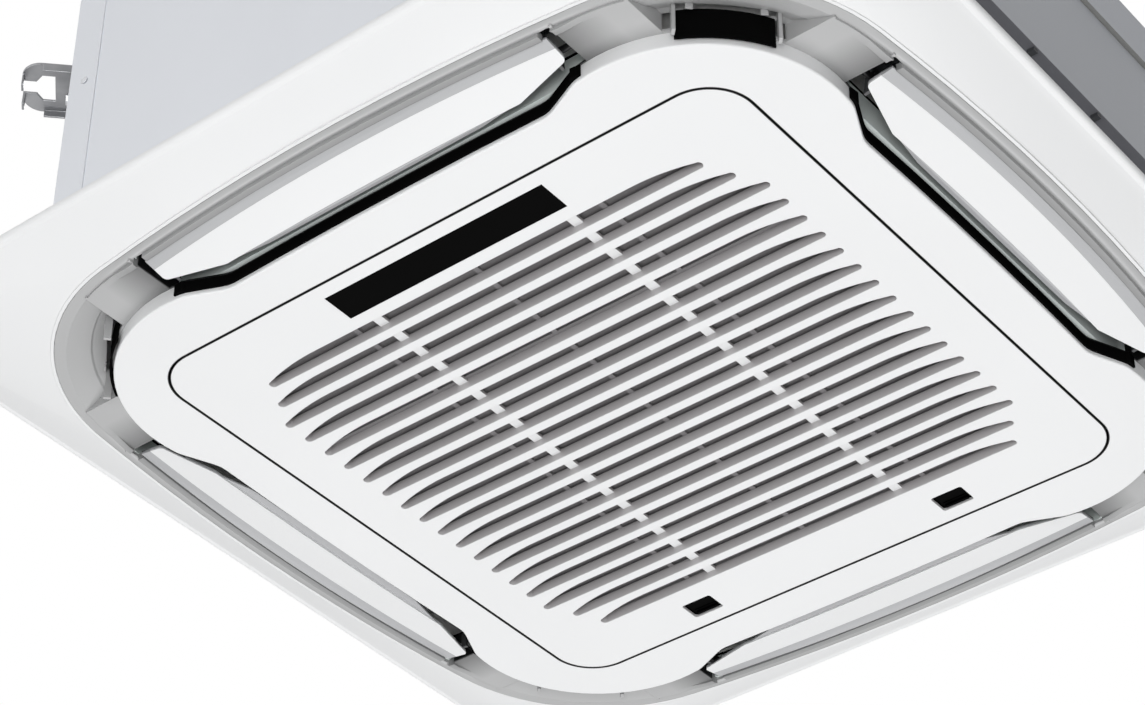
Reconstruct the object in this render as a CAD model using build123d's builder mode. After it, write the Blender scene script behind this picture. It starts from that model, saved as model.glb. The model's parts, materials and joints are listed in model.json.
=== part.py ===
"""Ceiling cassette air conditioner: a four-way panel under a 950 mm square frame, with its body above.

The origin is the middle of the unit on the ceiling's underside, where the rim of the frame seats.
X runs along the grille's slots, -Y is the display's side, +Z is up into the ceiling void.
"""

from build123d import *
from math import cos, hypot, radians, sin, sqrt, tan
import os

os.makedirs("parts", exist_ok=True)

# Driving dimensions, mm. "Half" sizes run from the unit's axis to a side.
PANEL_HALF = 475.0          # outer edge of the white frame
CREASE_HALF = PANEL_HALF - 7.0  # foot of the frame's rim block
RIM_DEPTH = 6.0             # height of the rim block under the ceiling
RIM_SEAT = 10.0             # width of the ring that seats on the ceiling
FACE_Z = -45.0              # face of the grille and of the inner panel
BAND_Z = -28.0              # outer grey band and the inner edge of the frame
BLOCK_Z = -30.0             # face of the ring's corner blocks
BAND_HALF = 427.4           # bowed boundary between frame and grey ring, at mid side
SIDE_BOW = 2180.0           # radius of the bowed sides
CORNER_AT = 228.7           # centre of every corner arc, from the axis
SEAM_HALF = 303.0           # opening of the inner panel, which the grille fills
SEAM_RADIUS = 44.0
PANEL_EDGE = 346.2          # outer edge of the inner panel at mid side
SWELL_SAG = 2.4             # the bowed side falls back by this before it swells
SWELL_RISE = 13.8           # height of the swell over the mid side
SWELL_FROM = 168.0          # the swell runs between these, from the mid side
SWELL_TO = 205.0
SWELL_RADIUS = 30.0
BODY_HALF = 420.0           # outer face of the body's corner posts
CHAMFER_AT = 314.0          # where the body's 45 degree corners begin
BODY_TOP = 320.0
BODY_BOTTOM = 2.0
SHEET = 1.0                 # body sheet steel
WALL = 3.0                  # moulded walls
LID_WALL = 3.0              # grille and inner panel face
FAR = 200.0                 # longer than any local cut needs

# Clearances and fits.
SEAM = 2.0                  # gap round the grille
FIT = 0.3                   # gap between parts that are fitted by hand
RUN = 0.05                  # radial clearance of a running bore
TRAVEL_GAP = 0.4            # gap beside a sliding part

SIDES = {"wiring": 0.0, "latch": 90.0, "piping": 180.0, "display": 270.0}

# Ways a piece stands about its place: up from it, down from it, or out into the +X +Y corner.
RISING = (Align.CENTER, Align.CENTER, Align.MIN)
HANGING = (Align.CENTER, Align.CENTER, Align.MAX)
OUTWARD = (Align.MIN, Align.MIN)


def save(solid, node):
    """Label one node and write it as its own STEP file."""
    solid.label = node
    export_step(solid, f"parts/{node}.step")


def save_sides(solid, node):
    """Write a piece of the +X side once for every side of the unit."""
    for side, turn in SIDES.items():
        save(solid.rotate(Axis.Z, turn), f"{node}_{side}")


def bowed_square(inset):
    """Rounded square with bowed sides, parallel to the band's boundary and `inset` inside it."""
    half = BAND_HALF - inset
    bow = SIDE_BOW - inset
    reach = hypot(CORNER_AT + bow - half, CORNER_AT)
    corner = bow - reach
    share = corner / reach
    end_h = CORNER_AT + (CORNER_AT + bow - half) * share
    end_v = CORNER_AT + CORNER_AT * share
    mid = CORNER_AT + corner / sqrt(2)
    with BuildSketch() as outline:
        with BuildLine():
            for turn in range(4):
                side = ThreePointArc((end_h, -end_v), (half, 0), (end_h, end_v), mode=Mode.PRIVATE)
                bend = ThreePointArc((end_h, end_v), (mid, mid), (end_v, end_h), mode=Mode.PRIVATE)
                add(side.rotate(Axis.Z, 90 * turn))
                add(bend.rotate(Axis.Z, 90 * turn))
        make_face()
    return outline.sketch


def panel_outline(grow=0.0):
    """Outline of the inner panel: bowed sides that swell through an S-bend into round corners."""
    bow_end = (PANEL_EDGE - SWELL_SAG, SWELL_FROM)
    swell = (PANEL_EDGE + SWELL_RISE, SWELL_TO)
    lean = hypot(swell[0] - CORNER_AT, swell[1] - CORNER_AT)
    mid = CORNER_AT + lean / sqrt(2)
    with BuildSketch() as outline:
        with BuildLine():
            for turn in range(4):
                pieces = (
                    ThreePointArc((bow_end[0], -bow_end[1]), (PANEL_EDGE, 0), bow_end, mode=Mode.PRIVATE),
                    Line(bow_end, swell, mode=Mode.PRIVATE),
                    ThreePointArc(swell, (mid, mid), swell[::-1], mode=Mode.PRIVATE),
                    Line(swell[::-1], bow_end[::-1], mode=Mode.PRIVATE),
                )
                for piece in pieces:
                    add(piece.rotate(Axis.Z, 90 * turn))
        make_face()
        fillet(outline.vertices(), radius=SWELL_RADIUS)
        if grow:
            offset(amount=grow, kind=Kind.INTERSECTION)
    return outline.sketch


def octagon(half):
    """Plan of the body: a square with its corners cut at 45 degrees, `half` to a flat side."""
    cut = CHAMFER_AT - (BODY_HALF - half) * tan(radians(22.5))
    with BuildSketch() as plan:
        Rectangle(2 * half, 2 * half)
        chamfer(plan.vertices(), length=half - cut)
    return plan.sketch


# ---------------------------------------------------------------- white outer frame
RIM_BOTTOM = -RIM_DEPTH
RIM_CORNER = 14.0
RIM_EDGE = 4.0              # rounding of the rim's lower edge
UPSTAND = 15.0              # inner upstand of the frame, on which the grey ring's flange rests
with BuildPart() as outer_frame:
    with BuildSketch(Plane.XY.offset(BAND_Z)):
        add(bowed_square(0))
    with BuildSketch(Plane.XY.offset(RIM_BOTTOM)):
        RectangleRounded(2 * CREASE_HALF, 2 * CREASE_HALF, RIM_CORNER - 2)
    loft(ruled=True)
    with BuildSketch(Plane.XY.offset(RIM_BOTTOM)):
        RectangleRounded(2 * PANEL_HALF, 2 * PANEL_HALF, RIM_CORNER)
    extrude(amount=RIM_DEPTH)
    outer = [e for e in outer_frame.edges().filter_by_position(Axis.Z, RIM_BOTTOM, RIM_BOTTOM)
             if max(abs(e.center().X), abs(e.center().Y)) > (CREASE_HALF + PANEL_HALF) / 2]
    fillet(outer, radius=RIM_EDGE)
    with BuildSketch(Plane.XY.offset(BAND_Z + WALL)):
        add(bowed_square(-0.2))
    with BuildSketch(Plane.XY.offset(-WALL)):
        RectangleRounded(2 * (PANEL_HALF - RIM_SEAT), 2 * (PANEL_HALF - RIM_SEAT), RIM_CORNER - 4)
    loft(ruled=True, mode=Mode.SUBTRACT)
    with BuildSketch(Plane.XY.offset(-WALL)):
        RectangleRounded(2 * (PANEL_HALF - RIM_SEAT), 2 * (PANEL_HALF - RIM_SEAT), RIM_CORNER - 4)
    extrude(amount=WALL, mode=Mode.SUBTRACT)
    with BuildSketch(Plane.XY.offset(BAND_Z)):
        add(bowed_square(-WALL))
    extrude(amount=UPSTAND)
    with BuildSketch(Plane.XY.offset(BAND_Z)):
        add(bowed_square(0))
    extrude(amount=-BAND_Z, mode=Mode.SUBTRACT)
save(outer_frame.part, "outer_frame")

# ---------------------------------------------------------------- grey outlet ring
OPENING_HALF = 220.5        # half length of every air outlet
POCKET_AT = 285.0           # end walls of the corner pockets
LEDGE_OUT = 417.5           # outward step beside every outlet
LEDGE_IN = 411.4            # outer edge of the outlet, which the louver closes
LEDGE_Z = -32.0
NOTCH_OUT = 407.5           # outer corner of the outlet, past the louver's end
LOUVER_END = 9.0            # gap between a louver's end and the outlet's end
LOUVER_HALF = OPENING_HALF - LOUVER_END
RAIL = 10.0                 # rail of the ring inside every outlet
POCKET_LIP = 175.0          # pocket radii round the corner arc's centre
POCKET_LINE = 155.0
POCKET_IN = 142.0
POCKET_LINE_Z = -19.0
POCKET_TOP_Z = -11.0
SLOT_WIDTH = 79.0           # finger slot at the back of every corner pocket
SLOT_IN = 135.5
SLOT_WALL_Z = -40.0         # lower edge of the slot's side walls
TAB = (1.6, 6.0, 7.5)       # tabs that hook the corner cover
TAB_AT = 29.0
END_WALL = 2.5              # upright wall at the end of every outlet
END_WALL_TOP = -6.0
PIVOT_H = 376.0             # louver pivot, from the axis and in height
PIVOT_Z = -20.5
BUSH_R = 5.0
PIN_R = 3.0
UPSTAND_TOP = BAND_Z + UPSTAND
SCREW_R = 1.5
BOSS_RING = 127.0           # panel screws, round the corner arc's centre
BOSS_ANGLES = (15, 75)
BEAD_FLAT = OPENING_HALF + 7.5  # the step beside an outlet tapers out between these
BEAD_HALF = BEAD_FLAT + 34.0
NOTCH = 12.0                # length of the outlet's square ends
NOTCH_R = 4.0
POCKET_RIM = 3.0            # land round a pocket's lip
CORNER_SPOT = Location((CORNER_AT, CORNER_AT, 0), (0, 0, 45))


def on_sides(solid, mode=Mode.ADD):
    """Place a piece of the +X side on all four sides of the part being built."""
    with PolarLocations(0, 4):
        add(solid, mode=mode)


def boss_spots():
    """Places of the panel screws round one corner arc."""
    return [Location((CORNER_AT + BOSS_RING * cos(radians(a)), CORNER_AT + BOSS_RING * sin(radians(a)), 0))
            for a in BOSS_ANGLES]


with BuildPart() as bead:
    with BuildSketch(Plane.XY.offset(LEDGE_Z)):
        add(bowed_square(BAND_HALF - LEDGE_OUT))
        add(bowed_square(BAND_HALF - LEDGE_IN), mode=Mode.SUBTRACT)
        with Locations((PANEL_HALF, 0)):
            Rectangle(PANEL_HALF, 2 * BEAD_HALF, mode=Mode.INTERSECT)
    extrude(amount=BAND_Z + WALL - LEDGE_Z)
    with BuildSketch(Plane.YZ):
        Polygon((-BEAD_HALF, BAND_Z + WALL), (-BEAD_HALF, BAND_Z), (-BEAD_FLAT, LEDGE_Z),
                (BEAD_FLAT, LEDGE_Z), (BEAD_HALF, BAND_Z), (BEAD_HALF, BAND_Z + WALL), align=None)
    extrude(amount=PANEL_HALF, mode=Mode.INTERSECT)

with BuildPart() as outlet_cut:
    with BuildSketch(Plane.XY.offset(LEDGE_Z - 1)) as outlet_plan:
        add(bowed_square(BAND_HALF - LEDGE_IN))
        with Locations((PANEL_HALF, 0)):
            Rectangle(PANEL_HALF, 2 * OPENING_HALF, mode=Mode.INTERSECT)
        with Locations(*[((NOTCH_OUT + PANEL_EDGE) / 2, hand * (OPENING_HALF - NOTCH / 2))
                         for hand in (-1, 1)]):
            Rectangle(NOTCH_OUT - PANEL_EDGE, NOTCH)
        fillet([v for v in outlet_plan.vertices()
                if v.X > LEDGE_IN - NOTCH and abs(v.Y) > OPENING_HALF - 1], radius=NOTCH_R)
        add(panel_outline(FIT), mode=Mode.SUBTRACT)
    extrude(amount=2 * WALL + 3)

with BuildPart() as outlet_end:
    with Locations(((PANEL_EDGE + NOTCH_OUT) / 2 + 2, OPENING_HALF + END_WALL / 2,
                    (BLOCK_Z + END_WALL_TOP) / 2)):
        Box(NOTCH_OUT - PANEL_EDGE, END_WALL, END_WALL_TOP - BLOCK_Z)
    with Locations(Location((PIVOT_H, OPENING_HALF + END_WALL / 2, PIVOT_Z), (90, 0, 0))):
        Cylinder(BUSH_R, 2 * END_WALL, mode=Mode.SUBTRACT)
    mirror(about=Plane.XZ)

with BuildPart() as pocket:
    with BuildSketch(Plane.XZ):
        with BuildLine():
            Polyline((POCKET_LIP + POCKET_RIM, BAND_Z), (POCKET_LIP, BAND_Z), (POCKET_LINE, POCKET_LINE_Z),
                     (POCKET_LINE - 1.5, POCKET_LINE_Z + 2), (POCKET_IN, POCKET_TOP_Z),
                     (SLOT_IN, POCKET_TOP_Z), (SLOT_IN, POCKET_TOP_Z + WALL),
                     (POCKET_IN - 1, POCKET_TOP_Z + WALL), (POCKET_LINE, POCKET_LINE_Z + 1.5 * WALL),
                     (POCKET_LIP + POCKET_RIM, BAND_Z + WALL), close=True)
        make_face()
    revolve(axis=Axis.Z)
    with Locations((POCKET_AT - CORNER_AT, POCKET_AT - CORNER_AT, BLOCK_Z)):
        Box(FAR, FAR, -2 * BLOCK_Z, align=(Align.MIN, Align.MIN, Align.MIN), mode=Mode.INTERSECT)
    with BuildSketch(Plane.XY.offset(BLOCK_Z)):
        Circle(POCKET_LIP + 2)
        Circle(SLOT_IN, mode=Mode.SUBTRACT)
        with Locations((POCKET_AT - CORNER_AT - END_WALL, POCKET_AT - CORNER_AT - END_WALL)):
            Rectangle(FAR, FAR, align=OUTWARD, mode=Mode.INTERSECT)
        with Locations((POCKET_AT - CORNER_AT, POCKET_AT - CORNER_AT)):
            Rectangle(FAR, FAR, align=OUTWARD, mode=Mode.SUBTRACT)
    extrude(amount=POCKET_TOP_Z + WALL - BLOCK_Z)
    with Locations(Location((0, 0, 0), (0, 0, 45))):
        with Locations((POCKET_IN - 5, 0, POCKET_TOP_Z)):
            Box(10, SLOT_WIDTH, 4 * WALL, mode=Mode.SUBTRACT)
        with Locations(*[(POCKET_IN - WALL, hand * (SLOT_WIDTH + WALL) / 2,
                          (SLOT_WALL_Z + POCKET_TOP_Z) / 2) for hand in (-1, 1)]):
            Box(POCKET_IN - SLOT_IN, WALL, POCKET_TOP_Z - SLOT_WALL_Z + 2)
        with Locations(*[(POCKET_IN, hand * TAB_AT, POCKET_TOP_Z) for hand in (-1, 1)]):
            Box(TAB[0], TAB[1], TAB[2], align=(Align.MIN, Align.CENTER, Align.MAX))

with BuildPart() as pocket_cut:
    with BuildSketch(Plane.XY.offset(LEDGE_Z - 1)):
        Circle(POCKET_LIP + 1)
        Circle(SLOT_IN, mode=Mode.SUBTRACT)
        with Locations((POCKET_AT - CORNER_AT, POCKET_AT - CORNER_AT)):
            Rectangle(FAR, FAR, align=OUTWARD, mode=Mode.INTERSECT)
    extrude(amount=3 * WALL + 2)

with BuildPart() as outlet_ring:
    with BuildSketch(Plane.XY.offset(BAND_Z)):
        add(bowed_square(FIT))
        add(bowed_square(BAND_HALF - LEDGE_IN), mode=Mode.SUBTRACT)
    extrude(amount=WALL)
    with BuildSketch(Plane.XY.offset(BLOCK_Z)):
        add(bowed_square(BAND_HALF - LEDGE_OUT))
        add(panel_outline(-RAIL), mode=Mode.SUBTRACT)
    extrude(amount=WALL)
    on_sides(bead.part)
    with BuildSketch(Plane.XY.offset(BAND_Z)):
        add(bowed_square(FIT))
        add(bowed_square(FIT + WALL), mode=Mode.SUBTRACT)
    extrude(amount=UPSTAND_TOP - BAND_Z + WALL)
    with BuildSketch(Plane.XY.offset(UPSTAND_TOP)):
        add(bowed_square(-WALL))
        add(bowed_square(FIT + WALL), mode=Mode.SUBTRACT)
    extrude(amount=WALL)
    on_sides(outlet_cut.part, Mode.SUBTRACT)
    on_sides(outlet_end.part)
    on_sides(pocket_cut.part.moved(Location((CORNER_AT, CORNER_AT, 0))), Mode.SUBTRACT)
    on_sides(pocket.part.moved(Location((CORNER_AT, CORNER_AT, 0))))
    with BuildSketch(Plane.XY.offset(BLOCK_Z)):
        with PolarLocations(0, 4):
            with Locations(*boss_spots()):
                Circle(SCREW_R + 0.2)
    extrude(amount=WALL, mode=Mode.SUBTRACT)
save(outlet_ring.part, "outlet_ring")

# ---------------------------------------------------------------- white inner panel
LID_TOP = FACE_Z + LID_WALL
PANEL_ROUND = 1.6           # rounding of the inner panel's outer edge
HINGE_IN = 30.0             # grille hinge axis, in from the grille's edge
ARM_Z = -9.0                # underside of the hinge arms, over which the grille's edge swings
ARM_SHEET = 4.0
RIB_STEP = 55.0             # pitch of the stiffening ribs behind the inner panel
BOSS_R = 4.2
HINGE_Z = -40.8
HINGE_AT = 200.0            # hinge lugs, from the middle
GRILLE_HALF = SEAM_HALF - SEAM
HINGE_Y = HINGE_IN - GRILLE_HALF
HINGE_PIN_R = 1.5
LUG = 12.0                  # width of a hinge lug
LUG_R = 2.7
LATCH_AT = (139.2, 273.6)
LATCH_WINDOW = (32.0, 23.5)
TONGUE = 20.0               # width of a latch's tongue

with BuildPart() as hinge_lug:
    with BuildSketch(Plane.YZ.offset(HINGE_AT - LUG / 2)):
        Polygon((-SEAM_HALF - WALL, BLOCK_Z - 1), (-SEAM_HALF, BLOCK_Z - 1), (-SEAM_HALF, ARM_Z),
                (HINGE_Y - 0.8, ARM_Z), (HINGE_Y - 0.8, HINGE_Z), (HINGE_Y + LUG_R, HINGE_Z),
                (HINGE_Y + ARM_SHEET, ARM_Z + ARM_SHEET), (-SEAM_HALF - WALL, ARM_Z + ARM_SHEET),
                align=None)
        with Locations((HINGE_Y, HINGE_Z)):
            Circle(LUG_R)
            Circle(HINGE_PIN_R + RUN, mode=Mode.SUBTRACT)
    extrude(amount=LUG)
    mirror(about=Plane.YZ)

with BuildPart() as inner_panel:
    with BuildSketch(Plane.XY.offset(FACE_Z)):
        add(panel_outline())
    extrude(amount=BLOCK_Z - FACE_Z)
    fillet(inner_panel.edges().group_by(Axis.Z)[0], radius=PANEL_ROUND)
    with BuildSketch(Plane.XY.offset(LID_TOP)):
        add(panel_outline(-2.5))
        RectangleRounded(2 * (SEAM_HALF + WALL), 2 * (SEAM_HALF + WALL), SEAM_RADIUS + WALL,
                         mode=Mode.SUBTRACT)
    extrude(amount=20, mode=Mode.SUBTRACT)
    with BuildSketch(Plane.XY.offset(FACE_Z)):
        RectangleRounded(2 * SEAM_HALF, 2 * SEAM_HALF, SEAM_RADIUS)
    extrude(amount=20, mode=Mode.SUBTRACT)
    with BuildSketch(Plane.XY.offset(LID_TOP)):
        with PolarLocations(0, 4):
            with Locations(*[((SEAM_HALF + PANEL_EDGE) / 2, RIB_STEP * step)
                             for step in (-3, -2, -1, 1, 2, 3)]):
                Rectangle(PANEL_EDGE - SEAM_HALF - 2 * WALL, 2)
            with Locations(*boss_spots()):
                Circle(BOSS_R)
    extrude(amount=BLOCK_Z - LID_TOP)
    with BuildSketch(Plane.XY.offset(LID_TOP)):
        with PolarLocations(0, 4):
            with Locations(*boss_spots()):
                Circle(SCREW_R + RUN)
    extrude(amount=BLOCK_Z - LID_TOP, mode=Mode.SUBTRACT)
    add(hinge_lug.part)
    with Locations(*[(hand * LATCH_AT[0], SEAM_HALF + WALL / 2, LID_TOP + 5) for hand in (-1, 1)]):
        Box(TONGUE + 6, WALL + 2, 10, mode=Mode.SUBTRACT)
save(inner_panel.part, "inner_panel")

# ---------------------------------------------------------------- panel screws
with BuildPart() as screw:
    Cylinder(SCREW_R, 10, align=HANGING)
    with BuildSketch():
        RegularPolygon(2 * SCREW_R, 6)
    extrude(amount=2)
with BuildPart() as panel_screws:
    with PolarLocations(0, 4):
        with Locations(*boss_spots()):
            add(screw.part.moved(Location((0, 0, BLOCK_Z + WALL))))
save(panel_screws.part, "panel_screws")

# ---------------------------------------------------------------- black seals
SEAL = 1.8
SEAL_HALF = LOUVER_HALF + 2.5
# Its thicker end, in plan.
SEAL_END = ((345, SEAL_HALF - 24), (350, SEAL_HALF - 18), (364, SEAL_HALF - 9), (363, SEAL_HALF),
            (345, SEAL_HALF))
with BuildPart() as seal_side:
    with BuildSketch(Plane.XY.offset(LID_TOP + 1)):
        add(panel_outline(SEAL))
        with Locations((SEAM_HALF, 0)):
            Rectangle(FAR, 2 * SEAL_HALF, mode=Mode.INTERSECT)
        for hand in (-1, 1):
            Polygon(*[(out, hand * along) for out, along in SEAL_END], align=None)
        add(panel_outline(), mode=Mode.SUBTRACT)
    extrude(amount=BLOCK_Z - LID_TOP - 1)
with BuildPart() as seal_pocket:
    with BuildSketch(Plane.XY.offset(SLOT_WALL_Z)):
        Circle(SLOT_IN + SEAL)
        Circle(SLOT_IN, mode=Mode.SUBTRACT)
        with Locations((SLOT_IN, 0)):
            Rectangle(SLOT_WIDTH, SLOT_WIDTH - 1, mode=Mode.INTERSECT)
    extrude(amount=POCKET_TOP_Z - SLOT_WALL_Z)
with BuildPart() as louver_seal:
    on_sides(seal_side.part)
    on_sides(seal_pocket.part.moved(CORNER_SPOT))
save(louver_seal.part, "louver_seal")

# ---------------------------------------------------------------- foam air ducts
DUCT_INSET = 4.0            # duct wall inside the band's boundary
DUCT_WALL = 6.0
DUCT_END = 3.0              # thickness of its end walls
DUCT_IN = 343.0
DUCT_TOP = -1.0
DUCT_DEEP = 100.0           # more than the duct's reach from its inner wall
DUCT_R = 8.0
with BuildSketch() as duct_plan:
    add(bowed_square(DUCT_INSET))
    with Locations((DUCT_IN, 0)):
        Rectangle(DUCT_DEEP, 2 * (OPENING_HALF + DUCT_END), align=(Align.MIN, Align.CENTER),
                  mode=Mode.INTERSECT)
with BuildSketch() as duct_bore:
    add(bowed_square(DUCT_INSET + DUCT_WALL))
    with Locations((DUCT_IN + DUCT_WALL, 0)):
        Rectangle(DUCT_DEEP, 2 * OPENING_HALF, align=(Align.MIN, Align.CENTER), mode=Mode.INTERSECT)
    fillet(duct_bore.vertices(), radius=DUCT_R)
with BuildPart() as duct:
    with BuildSketch(Plane.XY.offset(BAND_Z + WALL)):
        add(duct_plan.sketch)
        add(duct_bore.sketch, mode=Mode.SUBTRACT)
    extrude(amount=DUCT_TOP - BAND_Z - WALL)
    with Locations((DUCT_IN + DUCT_WALL / 2, 0, BLOCK_Z + WALL)):
        Box(DUCT_WALL, 2 * (OPENING_HALF - 40), 3, align=RISING)
    for hand in (-1, 1):
        with Locations((DUCT_IN + DUCT_WALL - 1, hand * (OPENING_HALF + END_WALL / 2),
                        END_WALL_TOP + FIT)):
            Box(NOTCH_OUT - DUCT_IN, END_WALL + 2, -BAND_Z, align=(Align.MIN, Align.CENTER, Align.MAX),
                mode=Mode.SUBTRACT)
with BuildPart() as air_ducts:
    on_sides(duct.part)
save(air_ducts.part, "air_ducts")
with BuildPart() as gasket:
    with BuildSketch(Plane.XY.offset(DUCT_TOP)):
        add(duct_plan.sketch)
        add(duct_bore.sketch, mode=Mode.SUBTRACT)
    extrude(amount=BODY_BOTTOM - DUCT_TOP)
with BuildPart() as duct_gaskets:
    on_sides(gasket.part)
save(duct_gaskets.part, "duct_gaskets")

# ---------------------------------------------------------------- louvers
LOUVER_OUT = 410.8
WHITE_OUT = 400.0
WHITE_IN = 364.6
LOUVER_IN_Z = -36.2         # inner edge of the closed louver
WHITE_OUT_Z = -30.2
SKIN = 1.5                  # white face of a louver
MOTOR_FACE = OPENING_HALF + END_WALL
MOTOR_SHAFT = 10.0
CARRIER = 2.0
LOUVER_SAG = 2.6            # bow of the inner edge
LOUVER_CUT = LOUVER_HALF - 56.5  # the inner corners are cut back past this
LOUVER_R = 5.0              # rounding of the inner corners' ends
CURL_HALF = LOUVER_CUT - 5.0    # half length of the curled lip, which tapers outside CURL_FULL
CURL_FULL = CURL_HALF - 38.0
# Sections of the curled lip and of the carrier's webs, out and up.
CURL = ((366.5, -34), (364.4, -34.7), (361.5, -35.3), (356.7, -33), (357.4, -31.6), (361.7, -33.5),
        (366.5, -32))
WEB = ((368, -33.5), (396, -29), (382, -17), (371, -17))
WEB_IN = 9.0                # end webs, in from the louver's ends
RIB_PITCH = 70.0


def louver_plan(outer):
    """Plan of a louver: bowed long edges, with its inner corners cut back."""
    cut_at = WHITE_IN - LOUVER_SAG
    with BuildSketch() as plan:
        with BuildLine():
            ThreePointArc((cut_at, -LOUVER_CUT), (WHITE_IN, 0), (cut_at, LOUVER_CUT))
            Polyline((cut_at, LOUVER_CUT), (PIVOT_H, LOUVER_HALF), (PANEL_HALF, LOUVER_HALF),
                     (PANEL_HALF, -LOUVER_HALF), (PIVOT_H, -LOUVER_HALF), (cut_at, -LOUVER_CUT))
        make_face()
        fillet([v for v in plan.vertices() if v.X < PANEL_HALF - 1 and abs(v.Y) > LOUVER_HALF - 1],
               radius=LOUVER_R)
        add(bowed_square(BAND_HALF - outer), mode=Mode.INTERSECT)
    with BuildPart() as block:
        with BuildSketch(Plane.XY.offset(LOUVER_IN_Z - 5)):
            add(plan.sketch)
        extrude(amount=30)
    return block.part


def louver_slab(lift, thickness, edge):
    """Section of a louver's sheet in height over reach, `lift` above its lower face."""
    with BuildPart() as slab:
        with BuildSketch(Plane.XZ):
            lower = [(WHITE_IN - 12, LOUVER_IN_Z - 2.03), (WHITE_OUT, WHITE_OUT_Z)] + edge
            upper = [(h, z + thickness) for h, z in reversed(lower)]
            Polygon(*[(h, z + lift) for h, z in lower + upper], align=None)
        extrude(amount=LOUVER_HALF, both=True)
    return slab.part


with BuildPart() as louver_face:
    add(louver_slab(0, SKIN, [(WHITE_OUT + 5, WHITE_OUT_Z + 0.85)]))
    add(louver_plan(WHITE_OUT), mode=Mode.INTERSECT)
save_sides(louver_face.part, "louver_face")

with BuildPart() as louver_carrier:
    add(louver_slab(0, SKIN + CARRIER, [(WHITE_OUT + 5, WHITE_OUT_Z), (LOUVER_OUT + 1, WHITE_OUT_Z - 1.2)]))
    add(louver_plan(LOUVER_OUT), mode=Mode.INTERSECT)
    seat = louver_slab(-2, SKIN + 2, [(WHITE_OUT + 5, WHITE_OUT_Z + 0.85)]) & louver_plan(WHITE_OUT)
    add(seat, mode=Mode.SUBTRACT)
    with BuildSketch(Plane.XZ):
        Polygon(*CURL, align=None)
    lip = extrude(amount=CURL_HALF, both=True, mode=Mode.PRIVATE)
    with BuildSketch(Plane.XY.offset(LOUVER_IN_Z)):
        Polygon((CURL[0][0], -CURL_HALF), (WHITE_IN - 2, -CURL_HALF), (CURL[3][0], -CURL_FULL),
                (CURL[3][0], CURL_FULL), (WHITE_IN - 2, CURL_HALF), (CURL[0][0], CURL_HALF), align=None)
    tapered = extrude(amount=-LOUVER_IN_Z, mode=Mode.PRIVATE)
    add(lip & tapered)
    with BuildSketch(Plane.XZ):
        Polygon(*WEB, align=None)
    webs = extrude(amount=LOUVER_HALF, both=True, mode=Mode.PRIVATE)
    with Locations(*[(PIVOT_H, hand * (LOUVER_HALF - WEB_IN), PIVOT_Z) for hand in (-1, 1)]):
        end_webs = Box(60, WALL, 40, mode=Mode.PRIVATE)
    with Locations(*[(PIVOT_H, RIB_PITCH * step, PIVOT_Z - 12) for step in range(-2, 3)]):
        ribs = Box(60, 2, 14, mode=Mode.PRIVATE)
    add(webs & end_webs)
    add(webs & ribs)
    add(louver_face.part, mode=Mode.SUBTRACT)
    with Locations(*[Location((PIVOT_H, hand * (LOUVER_HALF - WEB_IN), PIVOT_Z), (-90 * hand, 0, 0))
                     for hand in (-1, 1)]):
        Cylinder(PIN_R, MOTOR_FACE - LOUVER_HALF + WEB_IN - FIT, align=RISING)
    with Locations(Location((PIVOT_H, MOTOR_FACE, PIVOT_Z), (90, 0, 0))):
        Cylinder(SCREW_R + RUN, MOTOR_SHAFT, align=RISING, mode=Mode.SUBTRACT)
save_sides(louver_carrier.part, "louver_carrier")

with BuildPart() as bush:
    with BuildSketch(Plane.XZ.offset(-OPENING_HALF)):
        with Locations((PIVOT_H, PIVOT_Z)):
            Circle(BUSH_R - RUN)
            Circle(PIN_R + RUN, mode=Mode.SUBTRACT)
    extrude(amount=-END_WALL)
    mirror(about=Plane.XZ)
with BuildPart() as louver_bushes:
    on_sides(bush.part)
save(louver_bushes.part, "louver_bushes")

MOTOR_R = 12.0
MOTOR_LONG = 18.0
MOTOR_LIFT = 7.0            # motor case above its offset shaft
MOTOR_EARS = (42.0, 7.0, 1.0)
with BuildPart() as step_motor:
    with BuildSketch(Plane.XZ.offset(-MOTOR_FACE)):
        with Locations((PIVOT_H, PIVOT_Z + MOTOR_LIFT)):
            Rectangle(MOTOR_EARS[0], MOTOR_EARS[1])
    extrude(amount=-MOTOR_EARS[2])
    with BuildSketch(Plane.XZ.offset(-MOTOR_FACE - MOTOR_EARS[2])):
        with Locations((PIVOT_H, PIVOT_Z + MOTOR_LIFT)):
            Circle(MOTOR_R)
    extrude(amount=-MOTOR_LONG)
    with BuildSketch(Plane.XZ.offset(-MOTOR_FACE - MOTOR_EARS[2])):
        with Locations((PIVOT_H, PIVOT_Z)):
            Circle(SCREW_R)
    extrude(amount=MOTOR_SHAFT - MOTOR_EARS[2] / 2)
with BuildPart() as louver_motors:
    on_sides(step_motor.part)
save(louver_motors.part, "louver_motors")

# ---------------------------------------------------------------- grille door
SLOT_PITCH = 25.7
SLOT_HEIGHT = 16.6
SLOT_TIP = 4.0              # radius of a slot's tips
SLOT_TAPER = 60.0           # length over which a slot narrows to its tip
SLOT_ENDS = {1: 230.0, 2: 243.0, 18: 243.0, 19: 230.0}
SLOT_LONG = 258.0
BAR_DEPTH = 10.0
BAR_TOP = FACE_Z + BAR_DEPTH
BACK_RIB = (103.6, 9.5, 3.0)
LENS = (230.0, 33.0, -269.5)
FLANGE_TOP = LID_TOP + 8
EAR_R = 2.6
LATCH_PLATE = (44.0, 34.0, 2.0)
LATCH_MID = 277.0
LATCH_LIFT = 0.4            # latch plate above the grille's inner face
LATCH_TOP = LID_TOP + LATCH_LIFT + LATCH_PLATE[2]
SPRING_STOP = 249.5
FILTER = (262.0, 243.0, 3.6)   # half sizes and thickness
SLOT_ROWS = 19
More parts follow.
